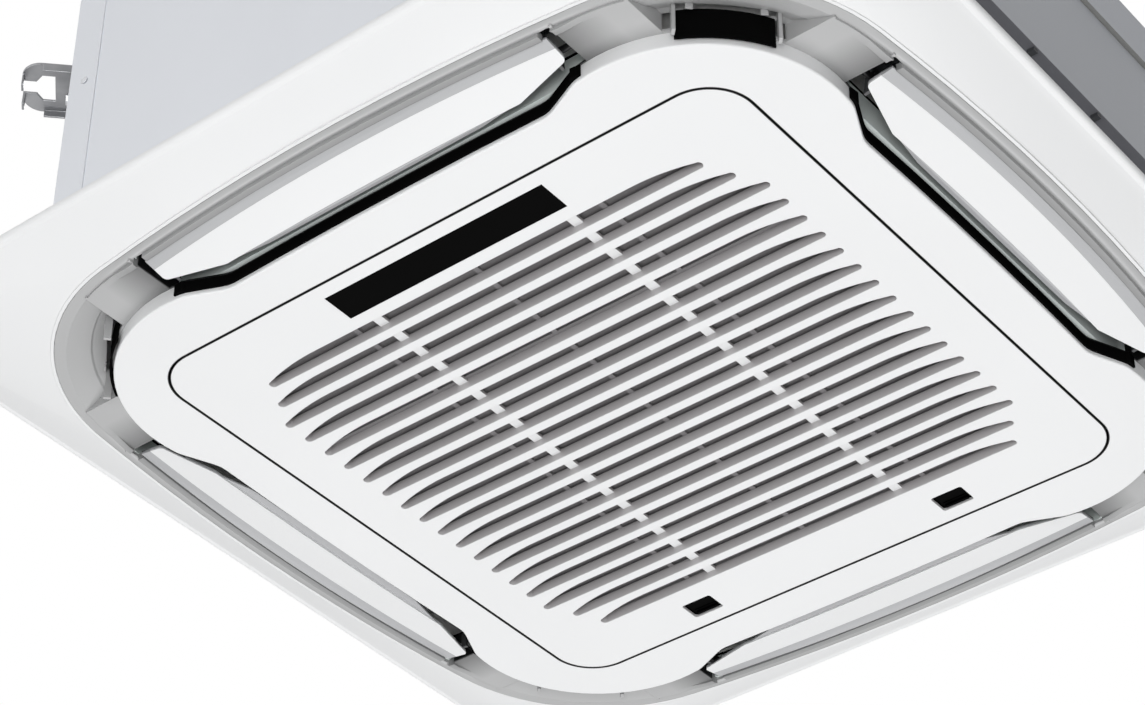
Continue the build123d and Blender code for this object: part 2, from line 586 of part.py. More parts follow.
BACK_FRAME = (266.0, 246.0, 20.0)   # half sizes and corner of the frame round the slots
WINDOW_R = 2.5
SKIRT = 2.5                 # upright wall round the grille's edge
STOP = (14.0, 2.0, 8.0)     # posts that the latch springs push against
RAIL_LIP = (2.4, 5.0, 1.2)  # guide rails of a latch: wall, lip width, lip thickness
CLIP = (2.0, 24.0, 6.0)     # posts beside the filter
CLIP_Y = 160.0


def slot_outline(row):
    """One intake slot, straight on its latch side and curved in to both tips on its display side."""
    half = SLOT_ENDS.get(row, SLOT_LONG)
    middle = (row - (SLOT_ROWS + 1) / 2) * SLOT_PITCH
    straight = middle + SLOT_HEIGHT / 2
    curved = middle - SLOT_HEIGHT / 2
    with BuildSketch() as outline:
        with BuildLine():
            Line((-half + SLOT_TIP, straight), (half - SLOT_TIP, straight))
            Line((-half + SLOT_TAPER, curved), (half - SLOT_TAPER, curved))
            for hand in (-1, 1):
                tip = hand * (half - SLOT_TIP)
                ThreePointArc((tip, straight), (hand * half, straight - SLOT_TIP),
                              (tip, straight - 2 * SLOT_TIP))
                TangentArc((hand * (half - SLOT_TAPER), curved), (tip, straight - 2 * SLOT_TIP),
                           tangent=(hand, 0))
        make_face()
    return outline.sketch


with BuildPart() as grille:
    with BuildSketch(Plane.XY.offset(FACE_Z)):
        RectangleRounded(2 * GRILLE_HALF, 2 * GRILLE_HALF, SEAM_RADIUS - SEAM)
    extrude(amount=FLANGE_TOP - FACE_Z)
    with BuildSketch(Plane.XY.offset(LID_TOP)):
        RectangleRounded(2 * (GRILLE_HALF - SKIRT), 2 * (GRILLE_HALF - SKIRT), SEAM_RADIUS - SEAM - SKIRT)
    extrude(amount=BAR_DEPTH, mode=Mode.SUBTRACT)
    with BuildSketch(Plane.XY.offset(LID_TOP)):
        RectangleRounded(2 * BACK_FRAME[0], 2 * BACK_FRAME[1], BACK_FRAME[2])
    extrude(amount=BAR_TOP - LID_TOP)
    with BuildSketch(Plane.XY.offset(FACE_Z)):
        for row in range(1, SLOT_ROWS + 1):
            add(slot_outline(row))
    extrude(amount=BAR_DEPTH, mode=Mode.SUBTRACT)
    with Locations(*[(hand * BACK_RIB[0], 0, BAR_TOP - BACK_RIB[2] / 2) for hand in (-1, 1)]):
        Box(BACK_RIB[1], 2 * BACK_FRAME[1] - 4, BACK_RIB[2])
    with BuildSketch(Plane.XY.offset(FACE_Z)):
        with Locations((0, LENS[2])):
            Rectangle(LENS[0] + 0.4, LENS[1] + 0.4)
        with Locations(*[(hand * LATCH_AT[0], LATCH_AT[1]) for hand in (-1, 1)]):
            RectangleRounded(LATCH_WINDOW[0], LATCH_WINDOW[1], WINDOW_R)
    extrude(amount=BAR_DEPTH, mode=Mode.SUBTRACT)
    with Locations(*[(hand * LATCH_AT[0], GRILLE_HALF, LID_TOP) for hand in (-1, 1)]):
        Box(TONGUE + 4, 3 * SKIRT, BAR_DEPTH, align=RISING, mode=Mode.SUBTRACT)
    for start, length, radius, mode in (
            (-LUG / 2 - FIT - 4, LUG + 2 * FIT + 8, EAR_R, Mode.ADD),
            (-LUG / 2 - FIT, LUG + 2 * FIT, LUG_R + TRAVEL_GAP, Mode.SUBTRACT),
            (-2 * LUG, 4 * LUG, HINGE_PIN_R + 0.02, Mode.SUBTRACT)):
        for hinge in (-HINGE_AT, HINGE_AT):
            with BuildSketch(Plane.YZ.offset(hinge + start)):
                with Locations((HINGE_Y, HINGE_Z)):
                    Circle(radius)
                    if mode is Mode.ADD:
                        Rectangle(2 * radius, HINGE_Z - LID_TOP, align=(Align.CENTER, Align.MAX))
            extrude(amount=length, mode=mode)
    for hand in (-1, 1):
        with Locations(*[(hand * LATCH_AT[0] + side * (LATCH_PLATE[0] / 2 + TRAVEL_GAP), LATCH_MID, LID_TOP)
                         for side in (-1, 1)]):
            Box(RAIL_LIP[0], LATCH_PLATE[1], LATCH_LIFT + LATCH_PLATE[2] + TRAVEL_GAP,
                align=RISING)
        with Locations(*[(hand * LATCH_AT[0] + side * (LATCH_PLATE[0] / 2 - 1), LATCH_MID,
                          LATCH_TOP + TRAVEL_GAP) for side in (-1, 1)]):
            Box(RAIL_LIP[1], LATCH_PLATE[1], RAIL_LIP[2], align=RISING)
        with Locations((hand * LATCH_AT[0], SPRING_STOP, LID_TOP)):
            Box(*STOP, align=(Align.CENTER, Align.MAX, Align.MIN))
    with Locations(*[(side * (FILTER[0] + CLIP[0] / 2 + TRAVEL_GAP), along, BAR_TOP)
                     for side in (-1, 1) for along in (-CLIP_Y, CLIP_Y)]):
        Box(*CLIP, align=RISING)
save(grille.part, "grille")

with BuildPart() as grille_hinge_pins:
    with Locations(*[Location((hinge, HINGE_Y, HINGE_Z), (0, 90, 0)) for hinge in (-HINGE_AT, HINGE_AT)]):
        Cylinder(HINGE_PIN_R, LUG + 10)
save(grille_hinge_pins.part, "grille_hinge_pins")

# ---------------------------------------------------------------- latches and their springs
TONGUE_OUT = SEAM_HALF + 5.0    # how far the tongue reaches into the inner panel's wall
GRIPS = ((8.5, 2.5, 2.4), (4.5, 1.2, 0.8))  # finger ridges: along, width, height
HEEL = (12.0, 2.0, 7.0)     # upright behind the latch that takes the spring
with BuildPart() as latch:
    with BuildSketch(Plane.XY.offset(LID_TOP + LATCH_LIFT)):
        with Locations((0, LATCH_MID)):
            Rectangle(LATCH_PLATE[0] - 4 * TRAVEL_GAP, LATCH_PLATE[1])
        with Locations((0, LATCH_MID)):
            Rectangle(TONGUE, TONGUE_OUT - LATCH_MID, align=(Align.CENTER, Align.MIN))
    extrude(amount=LATCH_PLATE[2])
    for along, width, height in GRIPS:
        with Locations((0, LATCH_AT[1] + along, LID_TOP + LATCH_LIFT)):
            Box(LATCH_WINDOW[0] - 8, width, height, align=HANGING)
    with Locations((0, LATCH_MID - LATCH_PLATE[1] / 2, LID_TOP + LATCH_LIFT)):
        Box(*HEEL, align=(Align.CENTER, Align.MIN, Align.MIN))
for hand, node in ((-1, "latch_left"), (1, "latch_right")):
    save(latch.part.moved(Location((hand * LATCH_AT[0], 0, 0))), node)

SPRING_R = 2.6
SPRING_WIRE = 0.7           # side of the square wire
SPRING_TURNS = 4
spring_length = LATCH_MID - LATCH_PLATE[1] / 2 - SPRING_STOP - SPRING_WIRE - 0.2
with BuildPart() as latch_spring:
    with BuildLine() as coil_line:
        Helix(pitch=spring_length / SPRING_TURNS, height=spring_length, radius=SPRING_R)
    with BuildSketch(Plane(origin=coil_line.line @ 0, z_dir=coil_line.line % 0)):
        Rectangle(SPRING_WIRE, SPRING_WIRE)
    sweep(path=coil_line.line, is_frenet=True)
spring_height = LID_TOP + LATCH_LIFT + SPRING_R + 0.6
spring_spot = Location((0, SPRING_STOP + SPRING_WIRE / 2 + 0.1, spring_height), (-90, 0, 0))
for hand, node in ((-1, "latch_spring_left"), (1, "latch_spring_right")):
    save(latch_spring.part.moved(Location((hand * LATCH_AT[0], 0, 0)) * spring_spot), node)

# ---------------------------------------------------------------- display
LENS_BACK = (6.0, 5.0, 1.2)     # the lens's hidden flange, beyond the window
BOARD = (150.0, 24.0, 1.6)
CHIPS = ((-50, (14, 9, 2.5)), (0, (14, 9, 2.5)), (55, (20, 7, 5)))   # parts on the board, by place
with BuildPart() as display_lens:
    with Locations((0, LENS[2], FACE_Z)):
        Box(LENS[0], LENS[1], LID_WALL, align=RISING)
    with Locations((0, LENS[2], LID_TOP)):
        Box(LENS[0] + LENS_BACK[0], LENS[1] + LENS_BACK[1], LENS_BACK[2],
            align=RISING)
save(display_lens.part, "display_lens")
with BuildPart() as display_board:
    with Locations((0, LENS[2], LID_TOP + LENS_BACK[2])):
        Box(*BOARD, align=RISING)
    for along, chip in CHIPS:
        with Locations((along, LENS[2], LID_TOP + LENS_BACK[2] + BOARD[2])):
            Box(*chip, align=RISING)
save(display_board.part, "display_board")

# ---------------------------------------------------------------- air filter
FILTER_RIM = 3.0
MESH = 0.6
with BuildPart() as filter_frame:
    with BuildSketch(Plane.XY.offset(BAR_TOP)):
        Rectangle(2 * FILTER[0], 2 * FILTER[1])
        with GridLocations(FILTER[0] / 2, FILTER[1] / 2, 4, 4):
            Rectangle(FILTER[0] / 2 - 5, FILTER[1] / 2 - 5, mode=Mode.SUBTRACT)
    extrude(amount=FILTER[2])
    with BuildSketch(Plane.XY.offset(BAR_TOP + FILTER[2] - 1)):
        Rectangle(2 * (FILTER[0] - FILTER_RIM), 2 * (FILTER[1] - FILTER_RIM))
    extrude(amount=2, mode=Mode.SUBTRACT)
save(filter_frame.part, "filter_frame")
with BuildPart() as filter_mesh:
    with BuildSketch(Plane.XY.offset(BAR_TOP + FILTER[2] - 1)):
        Rectangle(2 * (FILTER[0] - FILTER_RIM - 0.2), 2 * (FILTER[1] - FILTER_RIM - 0.2))
    extrude(amount=MESH)
save(filter_mesh.part, "filter_mesh")

# ---------------------------------------------------------------- sheet steel body
POST_FLANGE = 34.0          # corner posts lap this much over the side plates
PLATE_OUT = BODY_HALF - SHEET
POST_HALF = CHAMFER_AT - POST_FLANGE
COVER_HALF = 270.0          # half length of the wiring covers
COVER_BOTTOM = 110.0
COVER_OUT = 432.0
HOOD_BOTTOM = 238.0
HOOD_OUT = 436.0
HOOD_BREAK = 290.0
GAS_AT = (190.0, 205.0)     # refrigerant stubs on the piping side, along and up
LIQUID_AT = (135.0, 205.0)
DRAIN_AT = (235.0, 250.0)
GAS_R = 7.94
LIQUID_R = 4.76
DRAIN_R = 16.0
STUB_OUT = 470.0
GLAND_AT = (60.0, 230.0)
PIPE_HOLE = 13.0            # radii of the holes in the body for pipes and gland
GLAND_HOLE = 11.0
TOP_SHEET = 1.2


def entry_bores(at, depth):
    """Plugs that cut the holes for pipes, drain and cable in the body's -X wall, from X = -at inwards."""
    with BuildPart() as bores:
        with BuildSketch(Plane.YZ.offset(-at)):
            with Locations(GAS_AT, LIQUID_AT):
                Circle(PIPE_HOLE)
            with Locations(GLAND_AT):
                Circle(GLAND_HOLE)
            with Locations(DRAIN_AT):
                Circle(DRAIN_R + FIT)
        extrude(amount=depth)
    return bores.part


with BuildPart() as side_plate:
    with BuildSketch(Plane.YZ.offset(PLATE_OUT)):
        with Locations((0, (BODY_TOP + BODY_BOTTOM) / 2)):
            Rectangle(2 * CHAMFER_AT - 4, BODY_TOP - BODY_BOTTOM - 2 * TOP_SHEET)
    extrude(amount=-SHEET)
with BuildPart() as side_plates:
    on_sides(side_plate.part)
    add(entry_bores(PLATE_OUT + 1, SHEET + 2), mode=Mode.SUBTRACT)
save(side_plates.part, "side_plates")

SCREW_SPOTS = (60.0, 208.0)  # heights of the casing screws
SCREW_IN = 294.0
SCREW_HEAD_R = 3.8
with BuildPart() as corner_posts:
    with BuildSketch(Plane.XY.offset(BODY_BOTTOM)):
        add(octagon(BODY_HALF))
        add(octagon(PLATE_OUT), mode=Mode.SUBTRACT)
        Rectangle(2 * POST_HALF, 2 * PANEL_HALF, mode=Mode.SUBTRACT)
        Rectangle(2 * PANEL_HALF, 2 * POST_HALF, mode=Mode.SUBTRACT)
    extrude(amount=BODY_TOP - BODY_BOTTOM - TOP_SHEET)
save(corner_posts.part, "corner_posts")

with BuildPart() as casing_screw:
    with BuildSketch():
        RegularPolygon(SCREW_HEAD_R, 6)
    extrude(amount=1.6)
with BuildPart() as casing_screws:
    with PolarLocations(0, 4):
        for height in SCREW_SPOTS:
            for hand in (-1, 1):
                add(casing_screw.part.moved(Location((BODY_HALF, hand * SCREW_IN, height), (0, 90, 0))))
save(casing_screws.part, "casing_screws")

LIP_DEPTH = 14.0
with BuildPart() as top_plate:
    with BuildSketch(Plane.XY.offset(BODY_TOP - TOP_SHEET)):
        add(octagon(BODY_HALF))
    extrude(amount=TOP_SHEET)
    with BuildSketch(Plane.XY.offset(BODY_TOP - TOP_SHEET - LIP_DEPTH)):
        add(octagon(PLATE_OUT - SHEET - 0.1))
        add(octagon(PLATE_OUT - 2 * SHEET - 0.1), mode=Mode.SUBTRACT)
    extrude(amount=LIP_DEPTH)
save(top_plate.part, "top_plate")

LINER_OUT = PLATE_OUT - 2 * SHEET - 0.2
LINER_WALL = 12.0
LINER_TOP = BODY_TOP - TOP_SHEET
with BuildPart() as liner:
    with BuildSketch(Plane.XY.offset(BODY_BOTTOM)):
        add(octagon(LINER_OUT))
        add(octagon(LINER_OUT - LINER_WALL), mode=Mode.SUBTRACT)
    extrude(amount=LINER_TOP - BODY_BOTTOM)
    add(entry_bores(LINER_OUT + 1, LINER_WALL + 2), mode=Mode.SUBTRACT)
save(liner.part, "liner")

# ---------------------------------------------------------------- wiring cover and hood on the +X side
CLIP_AT = (-30.0, 71.0)
WIRE_CLIP = (7.0, 6.0, 3.5)
HOOD_LOW = HOOD_BOTTOM + 0.2
HOOD_HIGH = BODY_TOP - 1.4
HOOD_SHEET = 1.2
with BuildPart() as wiring_cover:
    with Locations((PLATE_OUT, 0, COVER_BOTTOM)):
        Box(COVER_OUT - PLATE_OUT, 2 * COVER_HALF, HOOD_BOTTOM - COVER_BOTTOM,
            align=(Align.MIN, Align.CENTER, Align.MIN))
    with Locations((PLATE_OUT, 0, COVER_BOTTOM + HOOD_SHEET)):
        Box(COVER_OUT - PLATE_OUT - HOOD_SHEET, 2 * (COVER_HALF - HOOD_SHEET),
            HOOD_BOTTOM - COVER_BOTTOM - 2 * HOOD_SHEET, align=(Align.MIN, Align.CENTER, Align.MIN),
            mode=Mode.SUBTRACT)
save(wiring_cover.part, "wiring_cover")
with BuildPart() as wiring_hood:
    with BuildSketch(Plane.XZ):
        Polygon((PLATE_OUT, HOOD_LOW), (HOOD_OUT, HOOD_LOW), (HOOD_OUT, HOOD_BREAK),
                (BODY_HALF + 1, HOOD_HIGH), (PLATE_OUT, HOOD_HIGH), align=None)
    extrude(amount=COVER_HALF, both=True)
    with BuildSketch(Plane.XZ):
        Polygon((PLATE_OUT - 1, HOOD_LOW + HOOD_SHEET), (HOOD_OUT - HOOD_SHEET, HOOD_LOW + HOOD_SHEET),
                (HOOD_OUT - HOOD_SHEET, HOOD_BREAK - 0.5), (BODY_HALF + 1, HOOD_HIGH - 2.5 * HOOD_SHEET),
                (PLATE_OUT - 1, HOOD_HIGH - 2.5 * HOOD_SHEET), align=None)
    extrude(amount=COVER_HALF - HOOD_SHEET, both=True, mode=Mode.SUBTRACT)
save(wiring_hood.part, "wiring_hood")
with BuildPart() as wire_clips:
    with Locations(*[(COVER_OUT - HOOD_SHEET, along, COVER_BOTTOM) for along in CLIP_AT]):
        Box(*WIRE_CLIP, align=(Align.MAX, Align.CENTER, Align.MAX))
save(wire_clips.part, "wire_clips")

# ---------------------------------------------------------------- hanger brackets
BRACKET_Z = 277.5
BRACKET_SHEET = 2.0
CHAMFER_FACE = (BODY_HALF + CHAMFER_AT) / sqrt(2)
BRACKET_TIP = 568.0
BRACKET_SHOULDER = 549.0
BRACKET_HALF = 31.5
TIP_HALF = 17.0
KEY_IN = 538.5
KEY_HALF = 16.5
NECK_IN = 555.5
NECK_HALF = 8.0
SHOULDER_KNEE = (562.0, 27.0)   # middle of the rounded shoulder
KEY_END = 550.0
FLANGE_DOWN = 9.0
TIP_DOWN = 15.0
FOOT_DOWN = 44.0
BOLT_AT = (18.0, 28.0)      # bracket bolts, from the middle and below the bracket's sheet
with BuildPart() as bracket:
    with BuildSketch(Plane.XY.offset(BRACKET_Z)):
        with BuildLine():
            Polyline((BRACKET_SHOULDER, -BRACKET_HALF), (CHAMFER_FACE, -BRACKET_HALF),
                     (CHAMFER_FACE, BRACKET_HALF), (BRACKET_SHOULDER, BRACKET_HALF))
            for hand in (-1, 1):
                ThreePointArc((BRACKET_SHOULDER, hand * BRACKET_HALF),
                              (SHOULDER_KNEE[0], hand * SHOULDER_KNEE[1]), (BRACKET_TIP, hand * TIP_HALF))
            Line((BRACKET_TIP, -TIP_HALF), (BRACKET_TIP, TIP_HALF))
        make_face()
        Polygon((KEY_IN, -KEY_HALF), (KEY_END, -KEY_HALF), (NECK_IN, -NECK_HALF),
                (BRACKET_TIP + 1, -NECK_HALF), (BRACKET_TIP + 1, NECK_HALF), (NECK_IN, NECK_HALF),
                (KEY_END, KEY_HALF), (KEY_IN, KEY_HALF), align=None, mode=Mode.SUBTRACT)
    extrude(amount=BRACKET_SHEET)
    for hand in (-1, 1):
        with Locations(((CHAMFER_FACE + BRACKET_SHOULDER) / 2, hand * (BRACKET_HALF - 1),
                        BRACKET_Z + BRACKET_SHEET)):
            Box(BRACKET_SHOULDER - CHAMFER_FACE, BRACKET_SHEET, FLANGE_DOWN,
                align=HANGING)
        with Locations((BRACKET_TIP, hand * (TIP_HALF + NECK_HALF) / 2, BRACKET_Z + BRACKET_SHEET)):
            Box(BRACKET_SHEET, TIP_HALF - NECK_HALF, TIP_DOWN, align=(Align.MAX, Align.CENTER, Align.MAX))
    with Locations((CHAMFER_FACE, 0, BRACKET_Z + BRACKET_SHEET)):
        Box(BRACKET_SHEET, 2 * BRACKET_HALF, FOOT_DOWN, align=(Align.MIN, Align.CENTER, Align.MAX))
with BuildPart() as hanger_brackets:
    with PolarLocations(0, 4, start_angle=45):
        add(bracket.part)
save(hanger_brackets.part, "hanger_brackets")
with BuildPart() as bracket_bolt:
    with BuildSketch(Plane.YZ.offset(CHAMFER_FACE + BRACKET_SHEET)):
        with Locations(*[(hand * BOLT_AT[0], BRACKET_Z - BOLT_AT[1]) for hand in (-1, 1)]):
            RegularPolygon(5.5, 6)
    extrude(amount=5)
with BuildPart() as bracket_bolts:
    with PolarLocations(0, 4, start_angle=45):
        add(bracket_bolt.part)
save(bracket_bolts.part, "bracket_bolts")

# ---------------------------------------------------------------- drain pan, bell mouth, coil
PAN_OUT = 344.0
PAN_IN = 262.0
PAN_TOP = 45.0
TROUGH_Z = 18.0
TROUGH_OUT = 332.0
TROUGH_IN = 274.0
PAN_RADIUS = 70.0
PAN_CORNER = 36.0           # inner corner of the trough
COIL_CORNER = 26.0          # inner bend of the coil
COIL_OUT = 318.0
COIL_IN = 282.0
COIL_TOP = 304.0
COIL_GAP = 225.0            # the coil stops this far from the axis at the pump's corner
with BuildPart() as drain_pan:
    with BuildSketch(Plane.XY.offset(BODY_BOTTOM)):
        RectangleRounded(2 * PAN_OUT, 2 * PAN_OUT, PAN_RADIUS + 12)
        RectangleRounded(2 * PAN_IN, 2 * PAN_IN, PAN_CORNER - 6, mode=Mode.SUBTRACT)
    extrude(amount=PAN_TOP - BODY_BOTTOM)
    with BuildSketch(Plane.XY.offset(TROUGH_Z)):
        RectangleRounded(2 * TROUGH_OUT, 2 * TROUGH_OUT, PAN_RADIUS)
        RectangleRounded(2 * TROUGH_IN, 2 * TROUGH_IN, PAN_CORNER, mode=Mode.SUBTRACT)
    extrude(amount=PAN_TOP, mode=Mode.SUBTRACT)
save(drain_pan.part, "drain_pan")

THROAT_R = 190.0
MOUTH_R = 235.0
MOUTH_BEND = MOUTH_R - THROAT_R
MOUTH_SHEET = 2.5
THROAT_TOP = PAN_TOP + MOUTH_BEND
with BuildPart() as bell_mouth:
    with BuildSketch(Plane.XY.offset(PAN_TOP)):
        RectangleRounded(2 * TROUGH_IN - 4, 2 * TROUGH_IN - 4, PAN_CORNER - 2)
        Circle(MOUTH_R, mode=Mode.SUBTRACT)
    extrude(amount=MOUTH_SHEET)
    with BuildSketch(Plane.XZ):
        with BuildLine():
            for bend in (MOUTH_BEND, MOUTH_BEND - MOUTH_SHEET):
                mid = bend / sqrt(2)
                ThreePointArc((MOUTH_R, THROAT_TOP - bend), (MOUTH_R - mid, THROAT_TOP - mid),
                              (MOUTH_R - bend, THROAT_TOP))
                Line((MOUTH_R, THROAT_TOP - bend), (MOUTH_R + 1, THROAT_TOP - bend))
            Line((THROAT_R, THROAT_TOP), (THROAT_R + MOUTH_SHEET, THROAT_TOP))
            Line((MOUTH_R + 1, PAN_TOP), (MOUTH_R + 1, PAN_TOP + MOUTH_SHEET))
        make_face()
    revolve(axis=Axis.Z)
save(bell_mouth.part, "bell_mouth")

with BuildPart() as heat_exchanger:
    with BuildSketch(Plane.XY.offset(TROUGH_Z)):
        RectangleRounded(2 * COIL_OUT, 2 * COIL_OUT, COIL_CORNER + COIL_OUT - COIL_IN)
        RectangleRounded(2 * COIL_IN, 2 * COIL_IN, COIL_CORNER, mode=Mode.SUBTRACT)
        with Locations((-COIL_GAP, COIL_GAP)):
            Rectangle(FAR, FAR, align=(Align.MAX, Align.MIN), mode=Mode.SUBTRACT)
    extrude(amount=COIL_TOP - TROUGH_Z)
save(heat_exchanger.part, "heat_exchanger")

TUBE_R = 5.0
TUBE_FLATS = 8              # the return bends and the hose are never seen, so flats do for round tube
TUBE_ROWS = 9
TUBE_PITCH = 28.0
TUBE_FREE = 6.0             # straight end of a tube before its bend
TUBE_FIRST = 18.0           # lowest tube above the trough
COIL_MID = (COIL_IN + COIL_OUT) / 2
with BuildPart() as return_bend:
    with BuildSketch(Plane.YZ.offset(TUBE_FREE)):
        RegularPolygon(TUBE_R, TUBE_FLATS)
    revolve(axis=Axis((TUBE_FREE, 0, TUBE_PITCH / 2), (0, -1, 0)), revolution_arc=180)
    with BuildSketch(Plane.YZ):
        with Locations((0, 0), (0, TUBE_PITCH)):
            RegularPolygon(TUBE_R, TUBE_FLATS)
    extrude(amount=TUBE_FREE)
with BuildPart() as coil_tubes:
    for row in range(0, TUBE_ROWS - 1, 2):
        height = TROUGH_Z + TUBE_FIRST + row * TUBE_PITCH
        add(return_bend.part.moved(Location((-COIL_GAP, COIL_MID, height), (0, 0, 180))))
        add(return_bend.part.moved(Location((-COIL_MID, COIL_GAP, height), (0, 0, 90))))
save(coil_tubes.part, "coil_tubes")

# ---------------------------------------------------------------- fan and its motor
FAN_R = 232.0
FAN_BOTTOM = 82.0
FAN_TOP = 232.0
SHROUD_IN = 198.0
BLADES = 7
MOTOR_CASE_R = 75.0
MOTOR_BOTTOM = 240.0
MOTOR_TOP = 310.0
NOSE_R = 20.0
NOSE = 6.0
SHAFT_BORE = 50.0
EAR_OUT = 14.0              # motor ears past the case, their underside and thickness
EAR_Z = 294.0
EAR = 4.0
GROMMET_R = 11.0
STUD_R = 4.0
SHAFT_R = 5.0
HUB_R = 14.0
NUT = 6.0
HUB_Z = 172.0
HUB_TALL = 22.0
HUB_DISC = 70.0             # flat of the hub, and the foot and head of its cone
CONE_OUT = 126.0
FAN_WALL = 3.0
SHROUD_Z = 112.0
BLADE_IN = (140.0, 0.0)     # leading edge, middle and trailing edge of a blade's outer face, in plan
BLADE_MID = (182.0, 26.0)
BLADE_OUT = (212.0, 80.0)
BLADE_STEP = (-4.0, 4.0)    # from the outer to the inner face at the trailing edge
with BuildPart() as blade:
    with BuildSketch(Plane.XY.offset(SHROUD_Z)):
        with BuildLine():
            inner_in = (BLADE_IN[0], BLADE_IN[1] + BLADE_STEP[1])
            inner_mid = (BLADE_MID[0] + BLADE_STEP[0] / 2, BLADE_MID[1] + 1.25 * BLADE_STEP[1])
            inner_out = (BLADE_OUT[0] + BLADE_STEP[0], BLADE_OUT[1] + BLADE_STEP[1])
            ThreePointArc(BLADE_IN, BLADE_MID, BLADE_OUT)
            ThreePointArc(inner_in, inner_mid, inner_out)
            Line(BLADE_IN, inner_in)
            Line(BLADE_OUT, inner_out)
        make_face()
    extrude(amount=FAN_TOP - SHROUD_Z - 2)
with BuildPart() as turbo_fan:
    with BuildSketch(Plane.XZ):
        Polygon((SHAFT_R + RUN, HUB_Z), (HUB_DISC, HUB_Z), (CONE_OUT, FAN_TOP - FAN_WALL),
                (FAN_R, FAN_TOP - FAN_WALL), (FAN_R, FAN_TOP), (CONE_OUT - FAN_WALL / 2, FAN_TOP),
                (HUB_DISC - FAN_WALL / 2, HUB_Z + FAN_WALL), (HUB_R, HUB_Z + FAN_WALL),
                (HUB_R, HUB_Z + HUB_TALL), (SHAFT_R + RUN, HUB_Z + HUB_TALL), align=None)
    revolve(axis=Axis.Z)
    with BuildSketch(Plane.XZ):
        with BuildLine():
            outer_foot = (SHROUD_IN + FAN_WALL, FAN_BOTTOM)
            inner_foot = (SHROUD_IN, FAN_BOTTOM)
            Line((FAN_R, SHROUD_Z + FAN_WALL), (FAN_R, SHROUD_Z))
            ThreePointArc((FAN_R, SHROUD_Z), (SHROUD_IN + 10, SHROUD_Z - 15), outer_foot)
            Line(inner_foot, outer_foot)
            ThreePointArc(inner_foot, (SHROUD_IN + 7.5, SHROUD_Z - 12.5), (FAN_R, SHROUD_Z + FAN_WALL))
        make_face()
    revolve(axis=Axis.Z)
    with PolarLocations(0, BLADES):
        add(blade.part)
save(turbo_fan.part, "turbo_fan")

with BuildPart() as fan_motor:
    with Locations((0, 0, MOTOR_BOTTOM)):
        Cylinder(MOTOR_CASE_R, MOTOR_TOP - MOTOR_BOTTOM, align=RISING)
    chamfer(fan_motor.edges().group_by(Axis.Z)[0], length=8)
    with Locations((0, 0, MOTOR_BOTTOM)):
        Cylinder(NOSE_R, NOSE, align=HANGING)
    with Locations((0, 0, MOTOR_BOTTOM - NOSE)):
        Cylinder(SHAFT_R + RUN, SHAFT_BORE, align=RISING, mode=Mode.SUBTRACT)
    with PolarLocations(MOTOR_CASE_R + EAR_OUT, 3):
        with Locations((0, 0, EAR_Z)):
            Cylinder(GROMMET_R + 1, EAR, align=RISING)
            Box(40, 24, EAR, align=(Align.MAX, Align.CENTER, Align.MIN))
            Cylinder(STUD_R + 0.2, EAR, align=RISING, mode=Mode.SUBTRACT)
save(fan_motor.part, "fan_motor")
with BuildPart() as motor_mounts:
    with PolarLocations(MOTOR_CASE_R + EAR_OUT, 3):
        with Locations((0, 0, EAR_Z + EAR)):
            Cylinder(GROMMET_R, LINER_TOP - EAR_Z - EAR, align=RISING)
        with Locations((0, 0, EAR_Z)):
            Cylinder(GROMMET_R - 2, 5, align=HANGING)
            Cylinder(STUD_R, EAR, align=RISING)
save(motor_mounts.part, "motor_mounts")
with BuildPart() as fan_nut:
    with BuildSketch(Plane.XY.offset(HUB_Z)):
        RegularPolygon(SHAFT_R + 4, 6)
        Circle(SHAFT_R + 0.02, mode=Mode.SUBTRACT)
    extrude(amount=-NUT)
save(fan_nut.part, "fan_nut")
with BuildPart() as fan_shaft:
    with Locations((0, 0, HUB_Z - NUT - 2)):
        Cylinder(SHAFT_R, MOTOR_BOTTOM + SHAFT_BORE - 2 * NUT - HUB_Z,
                 align=RISING)
save(fan_shaft.part, "fan_shaft")

# ---------------------------------------------------------------- control box
BOX = (330.0, 44.0, 33.0)   # length, width and height
BOX_Y = -236.0
BOX_Z = PAN_TOP - BOX[2] - 1.0
BOX_SHEET = 1.2
BOX_ROOF = BOX_Z + BOX[2] - BOX_SHEET
COVER_LAP = (3.0, 8.0)      # how much larger than the box its cover is, and how far it laps the sides
TERMINALS = (70.0, 24.0, 12.0)
TERMINAL_AT = 110.0
TERMINAL_PITCH = 14.0
MAIN_BOARD = (190.0, 36.0, 1.6)
MAIN_BOARD_AT = -50.0
STANDOFF = 3.0
CAPACITORS = ((-120, 4), (-90, -6), (-60, 5), (-20, 0))   # places along and across the board
with BuildPart() as control_box:
    with Locations((0, BOX_Y, BOX_Z)):
        Box(*BOX, align=RISING)
        Box(BOX[0] - 2 * BOX_SHEET, BOX[1] - 2 * BOX_SHEET, BOX[2] - BOX_SHEET,
            align=RISING, mode=Mode.SUBTRACT)
    with Locations(*[(hand * (BOX[0] / 2 + 8), BOX_Y, PAN_TOP) for hand in (-1, 1)]):
        Box(18, 30, BOX_SHEET, align=HANGING)
    with Locations((0, BOX_Y, PAN_TOP)):
        Box(BOX[0], BOX[1], 1.0, align=HANGING)
save(control_box.part, "control_box")
with BuildPart() as control_box_cover:
    with Locations((0, BOX_Y, BOX_Z)):
        Box(BOX[0] + COVER_LAP[0], BOX[1] + COVER_LAP[0], BOX_SHEET, align=HANGING)
    with Locations((0, BOX_Y, BOX_Z)):
        Box(BOX[0] + COVER_LAP[0], BOX[1] + COVER_LAP[0], COVER_LAP[1],
            align=RISING)
        Box(BOX[0] + 0.2, BOX[1] + 0.2, COVER_LAP[1], align=RISING,
            mode=Mode.SUBTRACT)
